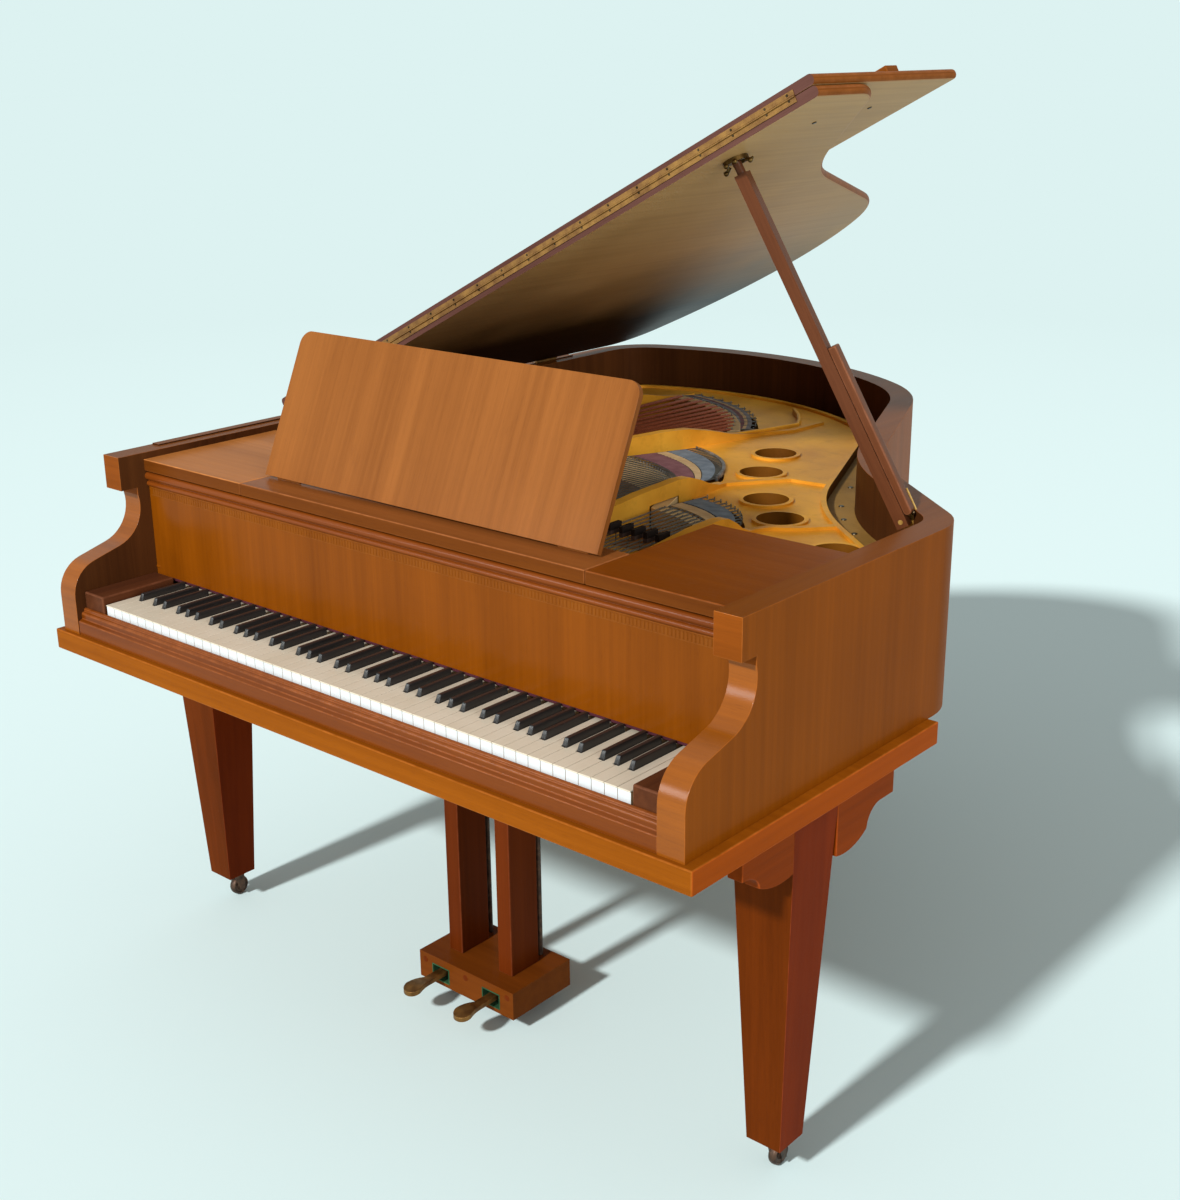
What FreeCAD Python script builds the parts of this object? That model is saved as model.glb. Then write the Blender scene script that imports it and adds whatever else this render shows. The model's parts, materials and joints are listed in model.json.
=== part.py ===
import FreeCAD, Part
import math
import os

import Sketcher

# A grand piano with its lid propped open and the front flap folded back.
# X runs to the treble side, Y to the tail, Z up, in millimetres. Every piece is
# drawn with Y = 0 at the front edge of the keybed, and its Placement then moves
# it so that the origin lies on the floor under the middle of the whole piano.

Vec = FreeCAD.Vector
doc = FreeCAD.newDocument("grand_piano")
sheet = doc.addObject("Spreadsheet::Sheet", "Sizes")

SIZES = {
    # case: the rim's thickness, and its path seen from above
    "rim_thickness": 47.0,
    "side_run": 655.0,
    "treble_corner_radius": 110.0,
    "treble_corner_angle": 50.0,
    "bent_run": 230.0,
    "bent_radius": 500.0,
    "bent_angle": 27.0,
    "flank_run": 379.0,
    "shoulder_radius": 400.0,
    "shoulder_angle": 33.0,
    "tail_radius": 750.0,
    "spine_corner_radius": 150.0,
    # arms: a roll at the front, a scoop above it and a square block on top
    "arm_front": 8.0,
    "arm_roll_rise": 71.0,
    "arm_roll_radius": 62.0,
    "arm_slope_angle": 15.0,
    "arm_run": 60.0,
    "arm_scoop_radius": 70.0,
    "arm_scoop_angle": 90.0,
    "block_front": 127.0,
    "block_height": 63.0,
    # keybed, inner rim, belly rail and the beams under the soundboard
    "keybed_overhang": 18.0,
    "keybed_depth": 640.0,
    "keybed_base": 626.0,
    "keybed_thickness": 38.0,
    "inner_rim_thickness": 40.0,
    "belly_front": 550.0,
    "belly_thickness": 40.0,
    "beam_width": 60.0,
    "beam_height": 80.0,
    # soundboard, bridges, pin block, strings and their pins
    "soundboard_rise": 186.0,
    "soundboard_thickness": 9.0,
    "bridge_height": 39.3,
    "bridge_width": 28.0,
    "pinblock_front": 225.0,
    "pinblock_depth": 245.0,
    "pinblock_thickness": 36.0,
    "string_diameter": 1.2,
    "tuning_pin_diameter": 5.0,
    "tuning_pin_height": 27.0,
    "damper_length": 30.0,
    "damper_width": 6.0,
    "damper_height": 18.0,
    "damper_wire_diameter": 2.0,
    "damper_tray_drop": 120.0,
    "damper_tray_thickness": 10.0,
    # cast plate: a border flange, a raised web, bars and round holes
    "flange_thickness": 12.0,
    "web_thickness": 14.0,
    "web_inset": 52.0,
    "plate_front": 218.0,
    "window_front": 495.0,
    "bar_thickness": 20.0,
    "bar_height": 45.0,
    "rib_thickness": 14.0,
    "rib_height": 6.0,
    "ridge_width": 10.0,
    "string_margin": 22.0,
    "plate_hole_diameter": 84.0,
    "plate_bead_width": 8.0,
    "plate_bead_height": 5.0,
    # keyboard: 52 naturals and 36 sharps on a sliding key frame
    "natural_pitch": 23.56,
    "key_gap": 1.0,
    "key_front": 30.6,
    "key_visible_length": 152.0,
    "sharp_length": 97.0,
    "sharp_width": 10.0,
    "sharp_height": 12.0,
    "sharp_slope": 5.0,
    "sharp_top_width": 7.2,
    "key_rise": 42.0,
    "key_thickness": 22.6,
    "key_lever_step": 7.0,
    "key_back": 400.0,
    "balance_line": 250.0,
    "balance_width": 8.0,
    "key_rail_width": 30.0,
    "key_rail_height": 26.0,
    "front_rail_line": 60.0,
    "stile_width": 24.0,
    "stile_height": 20.0,
    # key slip, key blocks, fallboard
    "slip_front": 9.0,
    "slip_back": 28.0,
    "slip_height": 48.0,
    "slip_step": 5.8,
    "key_end_gap": 5.0,
    "key_block_width": 57.4,
    "key_block_height": 78.0,
    "fallboard_front": 187.0,
    "fallboard_thickness": 18.0,
    "fallboard_rise": 5.4,
    "fallboard_top_gap": 3.0,
    "fallboard_axis_inset": 3.0,
    "fallboard_axis_rise": 18.0,
    "fallboard_pin_radius": 4.0,
    "fallboard_pin_length": 12.0,
    "fallboard_roll_radius": 7.5,
    "fallboard_bead_radius": 5.0,
    # shelves beside the music desk, its ledge, the desk and its stay
    "shelf_front": 180.0,
    "shelf_back": 490.0,
    "shelf_rise": 76.0,
    "shelf_drop": 12.0,
    "shelf_thickness": 22.0,
    "bass_shelf_end": 390.0,
    "treble_shelf_end": 405.0,
    "desk_half_width": 384.0,
    "desk_height": 263.0,
    "desk_thickness": 10.0,
    "desk_barrel_radius": 2.2,
    "desk_barrel_length": 60.0,
    "desk_corner_radius": 24.0,
    "desk_line": 242.0,
    "desk_lean_angle": 24.0,
    "stay_line": 100.0,
    "stay_width": 160.0,
    "stay_thickness": 6.0,
    "stay_angle": 50.0,
    # lid, folded flap and their hinges
    "lid_open_angle": 26.8,
    "lid_thickness": 16.5,
    "lid_inset": 26.0,
    "lid_axis_offset": 6.0,
    "lid_axis_rise": 3.2,
    "fold_line": 536.5,
    "flap_depth": 418.3,
    "flap_gap": 1.6,
    "flap_block_length": 34.0,
    "flap_block_width": 36.0,
    "flap_block_height": 11.0,
    "flap_block_inset": 8.0,
    "strip_leaf_thickness": 1.5,
    "strip_leaf_height": 8.0,
    "strip_pin_radius": 1.5,
    "strip_end": 38.0,
    "butt_length": 70.0,
    "butt_leaf_thickness": 3.0,
    "butt_leaf_height": 15.0,
    "butt_pin_radius": 2.6,
    # lid prop, the half prop beside it, its bracket and the cup under the lid
    "prop_width": 22.0,
    "prop_depth": 20.0,
    "half_prop_length": 285.0,
    "half_prop_depth": 14.0,
    "prop_pin_radius": 4.0,
    "prop_standoff": 20.0,
    "prop_drop": 17.0,
    "prop_boss_radius": 9.0,
    "prop_plate_length": 64.0,
    "prop_plate_lead": 20.8,
    "prop_plate_height": 44.0,
    "prop_plate_thickness": 6.0,
    "cup_radius": 21.0,
    "cup_height": 7.0,
    "cup_bore_radius": 15.8,
    "cup_bore_depth": 4.0,
    "prop_tip_reach": 1181.0,
    "prop_tip_line": 606.0,
    # legs, brackets and casters
    "leg_top_width": 112.0,
    "leg_foot_width": 63.0,
    "leg_foot_height": 58.0,
    "leg_line": 300.0,
    "rear_leg_line": 1400.0,
    "rear_leg_offset": 270.0,
    "leg_plate_margin": 50.0,
    "bracket_thickness": 26.0,
    "bracket_front": 118.0,
    "bracket_back": 514.0,
    "bracket_end_height": 38.0,
    "bracket_drop": 86.0,
    "bracket_lobe": 84.0,
    "bracket_hollow": 40.0,
    "wheel_radius": 20.0,
    "wheel_width": 16.0,
    "wheel_trail": 12.0,
    "axle_radius": 3.0,
    "fork_thickness": 4.0,
    "fork_plate_radius": 17.0,
    "fork_plate_height": 8.0,
    "stem_radius": 5.0,
    "stem_height": 36.0,
    # lyre: box, posts, braces, pedals and their rods
    "lyre_half_width": 119.0,
    "lyre_front": 301.0,
    "lyre_depth": 153.0,
    "lyre_base": 29.6,
    "lyre_height": 54.0,
    "post_width": 33.6,
    "post_depth": 72.0,
    "post_spacing": 126.0,
    "post_front": 341.0,
    "brace_radius": 5.0,
    "brace_spacing": 104.0,
    "brace_foot_height": 430.0,
    "brace_head_line": 560.0,
    "pedal_spacing": 128.0,
    "pedal_reach": 88.0,
    "pedal_width": 36.0,
    "pedal_neck_width": 18.0,
    "pedal_thickness": 9.0,
    "pedal_rise": 20.0,
    "pedal_back_line": 444.0,
    "slot_width": 44.0,
    "slot_drop": 12.0,
    "slot_rise": 10.0,
    "pedal_pin_radius": 4.0,
    "pedal_pin_line": 398.0,
    "rod_radius": 5.0,
    "rod_line": 434.0,
    "rod_head_gap": 14.0,
    # clearances
    "seat_gap": 0.3,
    "fit_gap": 0.5,
    "pin_gap": 0.05,
    "cut_overrun": 20.0,
}

# shares of the sizes that they follow
beam_shares = (-0.58, -0.17, 0.25)
butt_shares = (0.12, 0.5, 0.88)
flap_block_share = 0.57
sharp_shift_shares = {"c": -0.10, "d": 0.10, "f": -0.14, "g": 0.0, "a": 0.14}


class Size:
    """A number together with the sheet expression that gives it."""

    def __init__(self, text, value):
        self.text = text
        self.value = value

    @staticmethod
    def of(other):
        return other if isinstance(other, Size) else Size(repr(other), float(other))

    def join(self, sign, other, value):
        return Size(f"({self.text} {sign} {Size.of(other).text})", value)

    def __add__(self, other):
        return self.join("+", other, self.value + Size.of(other).value)

    def __sub__(self, other):
        return self.join("-", other, self.value - Size.of(other).value)

    def __mul__(self, other):
        return self.join("*", other, self.value * Size.of(other).value)

    def __truediv__(self, other):
        return self.join("/", other, self.value / Size.of(other).value)

    def __neg__(self):
        return Size(f"(-{self.text})", -self.value)

    def __float__(self):
        return self.value


class Sheet:
    """The sheet's sizes by name, as Size values."""


for row, (alias, number) in enumerate(SIZES.items(), start=1):
    sheet.set(f"A{row}", alias)
    sheet.set(f"B{row}", str(number))
    sheet.setAlias(f"B{row}", alias)
doc.recompute()
s = Sheet()
for alias in SIZES:
    setattr(s, alias, Size(f"Sizes.{alias}", float(sheet.get(alias))))

ZERO = Size("0", 0.0)
keyboard_half = s.natural_pitch * 26
inside_half = keyboard_half + s.key_end_gap + s.key_block_width
s.case_half_width = inside_half + s.rim_thickness
s.keybed_half_width = s.case_half_width + s.keybed_overhang
keybed_top = s.keybed_base + s.keybed_thickness
s.key_base = keybed_top + s.key_rise
s.soundboard_base = keybed_top + s.soundboard_rise
soundboard_top = s.soundboard_base + s.soundboard_thickness
web_base = soundboard_top + s.flange_thickness
web_top = web_base + s.web_thickness
string_line = soundboard_top + s.bridge_height + s.string_diameter / 2 + s.pin_gap * 2
s.shelf_top = web_top + s.shelf_rise
s.rim_top = s.shelf_top + s.shelf_drop
key_top = s.key_base + s.key_thickness
s.fallboard_base = key_top + s.fallboard_rise
fallboard_top = s.shelf_top - s.shelf_thickness - s.fallboard_top_gap
fallboard_axis_y = s.fallboard_front + s.fallboard_axis_inset
fallboard_axis_z = s.fallboard_base + s.fallboard_axis_rise
lyre_top = s.lyre_base + s.lyre_height
nodes = {}


# Paths, faces and the basic makers


class Walk:
    """A path of lines and tangent arcs in the XY plane."""

    def __init__(self, start, heading):
        self.at = Vec(start)
        self.heading = heading
        self.edges = []

    def line(self, length):
        turn = math.radians(self.heading)
        end = self.at + Vec(math.cos(turn), math.sin(turn), 0) * length
        self.edges.append(Part.LineSegment(self.at, end).toShape())
        self.at = end

    def arc(self, radius, angle):
        side = math.copysign(1, angle)
        turn = math.radians(self.heading)
        centre = self.at + Vec(-math.sin(turn), math.cos(turn), 0) * radius * side

        def point(share):
            here = math.radians(self.heading + angle * share)
            return centre + Vec(math.sin(here), -math.cos(here), 0) * radius * side

        self.edges.append(Part.Arc(self.at, point(0.5), point(1)).toShape())
        self.at = point(1)
        self.heading += angle


def rim_walk(inset, front):
    """The rim's outline, moved inwards by inset, from the treble front to the bass front."""
    half = float(s.case_half_width) - inset
    walk = Walk(Vec(half, front, 0), 90)
    walk.line(float(s.side_run) - front)
    walk.arc(float(s.treble_corner_radius) - inset, float(s.treble_corner_angle))
    walk.line(float(s.bent_run))
    walk.arc(float(s.bent_radius) + inset, -float(s.bent_angle))
    walk.line(float(s.flank_run))
    walk.arc(float(s.shoulder_radius) - inset, float(s.shoulder_angle))
    tail = float(s.tail_radius) - inset
    corner = float(s.spine_corner_radius) - inset
    centre_x = walk.at.x - tail * math.sin(math.radians(walk.heading))
    end = 180 + math.degrees(math.asin((half - corner + centre_x) / (tail - corner)))
    walk.arc(tail, end - walk.heading)
    walk.arc(corner, 270 - end)
    walk.line(walk.at.y - front)
    return walk


def face_of(edges):
    return Part.Face(Part.Wire(Part.__sortEdges__(edges)))


def rim_face(inset, front):
    """The area inside the rim's outline behind a straight front line."""
    walk = rim_walk(inset, front)
    start = Vec(float(s.case_half_width) - inset, front, 0)
    return face_of(walk.edges + [Part.LineSegment(walk.at, start).toShape()])


def ring_face(outer, inner, front):
    """The band between two insets of the rim's outline, open at the front."""
    out = rim_walk(outer, front)
    into = rim_walk(inner, front)
    half = float(s.case_half_width)
    ends = [
        Part.LineSegment(out.at, into.at).toShape(),
        Part.LineSegment(Vec(half - outer, front, 0), Vec(half - inner, front, 0)).toShape(),
    ]
    return face_of(out.edges + into.edges + ends)


def raised(face, base, height):
    shape = face.extrude(Vec(0, 0, float(height)))
    shape.translate(Vec(0, 0, float(base)))
    return shape


def block(low, high):
    """A box between two corners, in plain numbers."""
    low, high = Vec(*map(float, low)), Vec(*map(float, high))
    size = high - low
    return Part.makeBox(size.x, size.y, size.z, low)


def polygon(points):
    return Part.Face(Part.makePolygon([*points, points[0]]))


tail_y = max(edge.BoundBox.YMax for edge in rim_walk(0.0, float(s.arm_front)).edges)
front_y = -tail_y / 2
to_frame = FreeCAD.Placement(Vec(0, front_y, 0), FreeCAD.Rotation())


def keep(obj, label):
    obj.Label = label
    nodes[label] = obj
    return obj


def feature(label, shape, place=to_frame):
    """A piece whose form is worked out from the sheet's values."""
    obj = doc.addObject("Part::Feature", label)
    obj.Shape = shape
    obj.Placement = place * shape.Placement
    return keep(obj, label)


def set_place(obj, x, y, z):
    for axis, size in zip("xyz", (x, y, z)):
        obj.setExpression(f"Placement.Base.{axis}", Size.of(size).text)


def box(name, low, high):
    """A Part::Box between two corners given as sizes."""
    obj = doc.addObject("Part::Box", name)
    for side, a, b in zip(("Length", "Width", "Height"), low, high):
        obj.setExpression(side, (Size.of(b) - a).text)
    x, y, z = low
    set_place(obj, x, Size.of(y) + front_y, z)
    return obj


def rod(name, radius, low, axis, length):
    """A Part::Cylinder from a point along X, Y or Z."""
    obj = doc.addObject("Part::Cylinder", name)
    obj.setExpression("Radius", Size.of(radius).text)
    obj.setExpression("Height", Size.of(length).text)
    turns = {"X": (Vec(0, 1, 0), 90), "Y": (Vec(1, 0, 0), -90), "Z": (Vec(0, 0, 1), 0)}
    obj.Placement.Rotation = FreeCAD.Rotation(*turns[axis])
    x, y, z = low
    set_place(obj, x, Size.of(y) + front_y, z)
    return obj


def fuse(name, parts):
    obj = doc.addObject("Part::MultiFuse", name)
    obj.Shapes = parts
    return obj


def cut(name, base, tool):
    obj = doc.addObject("Part::Cut", name)
    obj.Base = base
    obj.Tool = tool
    return obj


def group(label, parts):
    obj = doc.addObject("Part::Compound", label)
    obj.Links = parts
    return keep(obj, label)


def sketch(body, plane, offset, points):
    """A closed sketch whose corners are bound to the sheet."""
    drawing = body.newObject("Sketcher::SketchObject", body.Name + "_sketch")
    support = next(f for f in body.Origin.OriginFeatures if f.Role == plane)
    drawing.AttachmentSupport = [(support, "")]
    drawing.MapMode = "FlatFace"
    drawing.setExpression("AttachmentOffset.Base.z", Size.of(offset).text)
    corners = [Vec(float(x), float(y), 0) for x, y in points]
    count = len(corners)
    for i in range(count):
        drawing.addGeometry(Part.LineSegment(corners[i], corners[(i + 1) % count]))
    for i in range(count):
        drawing.addConstraint(Sketcher.Constraint("Coincident", i, 2, (i + 1) % count, 1))
    for i, point in enumerate(points):
        for kind, size in zip(("DistanceX", "DistanceY"), point):
            at = drawing.addConstraint(
                Sketcher.Constraint(kind, -1, 1, i, 1, float(Size.of(size)))
            )
            drawing.setExpression(f"Constraints[{at}]", Size.of(size).text)
    return drawing


def new_body(name):
    body = doc.addObject("PartDesign::Body", name)
    body.Placement = to_frame
    return body


def prism(body, plane, points, low, high):
    """A pad of a closed outline from low to high along the plane's own axis."""
    offset = -high if plane == "XZ_Plane" else low
    pad = body.newObject("PartDesign::Pad", body.Name + "_pad")
    pad.Profile = sketch(body, plane, offset, points)
    pad.setExpression("Length", (high - low).text)
    doc.recompute()
    return pad


def rectangle(low_x, low_y, high_x, high_y):
    return [(low_x, low_y), (high_x, low_y), (high_x, high_y), (low_x, high_y)]


def dressed(body, kind, size, picks):
    """A fillet or chamfer on the edges of the body's tip that picks chooses."""
    tip = body.Tip
    names = [f"Edge{i}" for i, e in enumerate(tip.Shape.Edges, start=1) if picks(e)]
    work = body.newObject("PartDesign::" + kind, body.Name + "_" + kind.lower())
    work.Base = (tip, names)
    work.setExpression("Radius" if kind == "Fillet" else "Size", size.text)
    doc.recompute()
    return work


# Keybed: the thick board that carries the keys, the case and the legs

keybed = new_body("keybed_body")
prism(
    keybed,
    "XY_Plane",
    rectangle(-s.keybed_half_width, ZERO, s.keybed_half_width, s.keybed_depth),
    s.keybed_base,
    keybed_top,
)
keep(keybed, "keybed")


# Rim: one bent band from arm to arm, with the arms cut to an S


def arm_cut():
    """The space in front of the arms' S and of the blocks above them."""
    front, overrun = float(s.arm_front), float(s.cut_overrun)
    roll_base = float(keybed_top + s.arm_roll_rise)
    walk = Walk(Vec(front, roll_base, 0), 90)
    walk.arc(float(s.arm_roll_radius), float(s.arm_slope_angle) - 90)
    walk.line(float(s.arm_run))
    walk.arc(float(s.arm_scoop_radius), float(s.arm_scoop_angle))
    block_base = float(s.rim_top - s.block_height)
    top = float(s.rim_top) + overrun
    corners = [
        walk.at,
        Vec(walk.at.x, block_base, 0),
        Vec(float(s.block_front), block_base, 0),
        Vec(float(s.block_front), top, 0),
        Vec(front - overrun, top, 0),
        Vec(front - overrun, roll_base, 0),
        Vec(front, roll_base, 0),
    ]
    lines = [Part.LineSegment(a, b).toShape() for a, b in zip(corners, corners[1:])]
    profile = face_of(walk.edges + lines)
    profile.rotate(Vec(), Vec(1, 1, 1), 120)
    half = float(s.case_half_width) + overrun
    profile.translate(Vec(-half, 0, 0))
    return profile.extrude(Vec(2 * half, 0, 0))


def fallboard_bores():
    """Blind holes in the arms for the fallboard's pivot pins."""
    depth = float(s.fallboard_pin_length + s.fit_gap)
    radius = float(s.fallboard_pin_radius + s.pin_gap)
    centre = Vec(0, fallboard_axis_y.value, fallboard_axis_z.value)
    return [
        Part.makeCylinder(radius, depth, centre + Vec(x, 0, 0), Vec(1, 0, 0))
        for x in (-inside_half.value - depth, inside_half.value)
    ]


rim_height = s.rim_top - keybed_top
rim_shape = raised(
    ring_face(0.0, float(s.rim_thickness), float(s.arm_front)), keybed_top, rim_height
).cut([arm_cut()] + fallboard_bores())
feature("rim", rim_shape)

belly_back = s.belly_front + s.belly_thickness
inner_depth = float(s.rim_thickness + s.inner_rim_thickness)
inner_rim = ring_face(float(s.rim_thickness), inner_depth, float(belly_back))
feature("inner_rim", raised(inner_rim, keybed_top, s.soundboard_base - keybed_top))

belly = new_body("belly_body")
prism(
    belly,
    "XY_Plane",
    rectangle(-inside_half, s.belly_front, inside_half, belly_back),
    keybed_top,
    s.soundboard_base,
)
keep(belly, "belly_rail")


# Beams from the belly rail to the inner rim, and the board that holds the rear leg


def beams():
    space = raised(rim_face(inner_depth, float(belly_back)), keybed_top, s.beam_height)
    found = []
    for share in beam_shares:
        middle = share * s.case_half_width.value
        half = s.beam_width.value / 2
        bar = block(
            (middle - half, belly_back, keybed_top),
            (middle + half, tail_y, keybed_top + s.beam_height),
        )
        found.append(bar.common(space))
    half = s.leg_top_width.value / 2 + s.leg_plate_margin.value
    first, second = (share * s.case_half_width.value for share in beam_shares[:2])
    plate = block(
        (first - half, s.rear_leg_line - half, s.keybed_base),
        (second + half, s.rear_leg_line + half, keybed_top),
    )
    return Part.makeCompound(found + [plate])


feature("back_beams", beams())


# Soundboard on the inner rim, and the pin block in front of it

soundboard_inset = float(s.rim_thickness + s.seat_gap)
feature(
    "soundboard",
    raised(
        rim_face(soundboard_inset, float(s.belly_front)),
        s.soundboard_base,
        s.soundboard_thickness,
    ),
)

pinblock = new_body("pinblock_body")
prism(
    pinblock,
    "XY_Plane",
    rectangle(
        -inside_half + s.seat_gap,
        s.pinblock_front,
        inside_half - s.seat_gap,
        s.pinblock_front + s.pinblock_depth,
    ),
    web_base - s.pinblock_thickness,
    web_base,
)
keep(pinblock, "pinblock")


# Cast plate. Its bars run from the pin field to the hitch lines, and low ribs run on
# from them to the border. Places are shares of the half width and of the whole length.

bar_shares = [
    ((-0.650, 0.190), (-0.630, 0.905)),
    ((-0.450, 0.190), (-0.115, 0.765)),
    ((0.180, 0.190), (0.146, 0.535)),
    ((0.455, 0.190), (0.455, 0.405)),
]
bar_profile_shares = [(0.0, 0.5), (0.55, 0.95), (0.74, 1.0), (0.80, 0.93), (0.86, 0.66)]
bar_profile_shares += [(0.91, 0.36), (0.96, 0.18), (1.0, 0.13)]
rib_shares = [
    [(-0.115, 0.765), (-0.062, 0.800), (-0.050, 0.860)],
    [(0.146, 0.535), (0.200, 0.566), (0.262, 0.598), (0.368, 0.603)],
    [(0.455, 0.405), (0.480, 0.425), (0.535, 0.440), (0.600, 0.470)],
]
window_back_shares = [(0.895, 0.765), (0.640, 0.540), (0.470, 0.405), (0.365, 0.335)]
bridge_reach_shares = [0.94, 0.72, 0.61, 0.60]
bulge_share = 0.13
treble_window_end_share = 0.78
hole_shares = [(0.068, 0.686), (0.159, 0.602), (0.328, 0.510), (0.457, 0.457), (0.708, 0.397)]
curve_steps = 6


def spot(shares):
    """A place on the plan from its shares of the half width and the length."""
    return Vec(shares[0] * s.case_half_width.value, shares[1] * tail_y, 0)


def bar_at(index, line):
    """The X of a bar's middle at a given Y, where the last line is the treble edge."""
    if index == len(bar_shares):
        return treble_window_end_share * s.case_half_width.value
    start, end = (spot(p) for p in bar_shares[index])
    return start.x + (end.x - start.x) * (line - start.y) / (end.y - start.y)


def back_point(index, share, margin):
    """A point on the bulged line that ends an opening, from its bass side to its treble side."""
    left_y, right_y = (part * tail_y for part in window_back_shares[index])
    side = s.bar_thickness.value / 2 + margin
    left = Vec(bar_at(index, left_y) + side, left_y, 0)
    right = Vec(bar_at(index + 1, right_y) - side, right_y, 0)
    across = right - left
    out = Vec(-across.y, across.x, 0)
    return left + across * share + out * (4 * bulge_share * share * (1 - share))


def front_point(index, share, line, margin):
    """A point across an opening, or in front of it, at a given Y."""
    side = s.bar_thickness.value / 2 + margin
    left, right = bar_at(index, line) + side, bar_at(index + 1, line) - side
    return Vec(left + (right - left) * share, line, 0)


def window(index):
    """The opening between a bar and the next one, with a bulged back."""
    front = s.window_front.value
    back = Part.Arc(*(back_point(index, share, 0.0) for share in (0.0, 0.5, 1.0)))
    start, end = front_point(index, 0.0, front, 0.0), front_point(index, 1.0, front, 0.0)
    lines = [(start, end), (end, back.EndPoint), (back.StartPoint, start)]
    return face_of([back.toShape()] + [Part.LineSegment(*line).toShape() for line in lines])


def bar(index):
    """One raised bar, highest near its back and sloping down to a low rib."""
    start, end = (spot(p) for p in bar_shares[index])
    run = end - start
    half = s.bar_thickness.value / 2
    points = [
        Vec(run.Length * u, -half, web_top.value + s.bar_height.value * v)
        for u, v in bar_profile_shares
    ]
    feet = [Vec(along, -half, web_base.value) for along in (run.Length, 0.0)]
    profile = polygon(points + feet)
    shape = profile.extrude(Vec(0, 2 * half, 0))
    shape.rotate(Vec(), Vec(0, 0, 1), math.degrees(math.atan2(run.y, run.x)))
    shape.translate(start)
    return shape


def strip(points, width, base, height):
    """A band of even width along a line of points, on the plan."""
    ahead = [b - a for a, b in zip(points, points[1:])]
    turns = [ahead[0]] + [a + b for a, b in zip(ahead, ahead[1:])] + [ahead[-1]]
    sides = [Vec(-d.y, d.x, 0).normalize() * (width / 2) for d in turns]
    edge = [p + n for p, n in zip(points, sides)]
    edge += [p - n for p, n in reversed(list(zip(points, sides)))]
    return raised(polygon(edge), base, height)


def rib(shares):
    height = float(s.web_thickness + s.rib_height)
    return strip([spot(p) for p in shares], s.rib_thickness.value, web_base, height)


def bridge_line(index):
    """Points along a bridge across an opening, in front of the hitch line."""
    front = s.window_front.value
    reach = bridge_reach_shares[index]
    points = []
    for step in range(curve_steps + 1):
        share = step / curve_steps
        line = front + (back_point(index, share, s.rib_thickness.value).y - front) * reach
        points.append(front_point(index, share, line, s.rib_thickness.value))
    return points


def bridges(margin, top):
    """The bass bridge and the long bridge, as strips on the soundboard."""
    width = s.bridge_width.value + 2 * margin
    runs = [bridge_line(0), [p for index in (1, 2, 3) for p in bridge_line(index)]]
    return [strip(points, width, soundboard_top, top) for points in runs]


def plate():
    flange = raised(
        rim_face(float(s.rim_thickness + s.fit_gap), float(s.belly_front)),
        soundboard_top,
        s.flange_thickness,
    )
    border = float(s.rim_thickness + s.web_inset)
    web_face = rim_face(border, s.belly_front.value)
    shape = flange.fuse(raised(web_face, web_base, s.web_thickness))
    field = block(
        (-inside_half + s.fit_gap, s.plate_front, web_base),
        (inside_half - s.fit_gap, s.belly_front + s.web_inset, web_top),
    )
    ridge_front = float(s.belly_front + s.web_inset)
    ridge = raised(
        ring_face(border, border + s.ridge_width.value, ridge_front),
        web_base,
        s.web_thickness + s.rib_height,
    )
    bars = [bar(i) for i in range(len(bar_shares))]
    shape = shape.fuse([field, ridge] + bars + [rib(p) for p in rib_shares])
    depth = float(web_top + s.bar_height - soundboard_top)
    radius = s.plate_hole_diameter.value / 2
    beads = [
        Part.makeCylinder(
            radius + s.plate_bead_width.value,
            float(s.web_thickness + s.plate_bead_height),
            spot(p) + Vec(0, 0, web_base.value),
        )
        for p in hole_shares
    ]
    shape = shape.fuse(beads)
    tools = [
        Part.makeCylinder(radius, depth, spot(p) + Vec(0, 0, soundboard_top.value))
        for p in hole_shares
    ]
    for index in range(len(bar_shares)):
        tools.append(raised(window(index), soundboard_top, depth))
    passage = float(s.bridge_height + s.string_diameter * 2)
    tools += bridges(float(s.string_diameter) * 2, passage)
    return shape.cut(tools).removeSplitter()


feature("plate", plate())
feature("bridges", Part.makeCompound(bridges(0.0, s.bridge_height)))


# Strings from the tuning pins to the hitch line, in four sections between the bars

string_counts = (12, 24, 12, 14)
pin_rows = 4
pin_first_line_share = 0.18
pin_row_share = 0.018
hitch_share = 0.010


def string_runs():
    """The two ends of every string, section by section."""
    runs = []
    margin = s.string_margin.value
    front = s.window_front.value
    for index, count in enumerate(string_counts):
        for k in range(count):
            share = k / (count - 1)
            line = (pin_first_line_share + pin_row_share * (k % pin_rows)) * tail_y
            near = front_point(index, share, front, margin)
            far = back_point(index, share, margin) + Vec(0, hitch_share * tail_y, 0)
            slope = (far.x - near.x) / (far.y - near.y)
            runs.append((Vec(near.x - slope * (near.y - line), line, 0), far))
    return runs


def strings():
    lift = Vec(0, 0, string_line.value)
    radius = s.string_diameter.value / 2
    return Part.makeCompound(
        [Part.makeCylinder(radius, (b - a).Length, a + lift, b - a) for a, b in string_runs()]
    )


def tuning_pins():
    radius = s.tuning_pin_diameter.value / 2
    lift = Vec(radius + s.string_diameter.value, 0, web_top.value)
    height = s.tuning_pin_height.value
    return Part.makeCompound(
        [Part.makeCylinder(radius, height, a + lift) for a, _ in string_runs()]
    )


feature("strings", strings())
feature("tuning_pins", tuning_pins())


# Dampers: felted heads on the strings, each on a wire from the lifting tray


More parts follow.
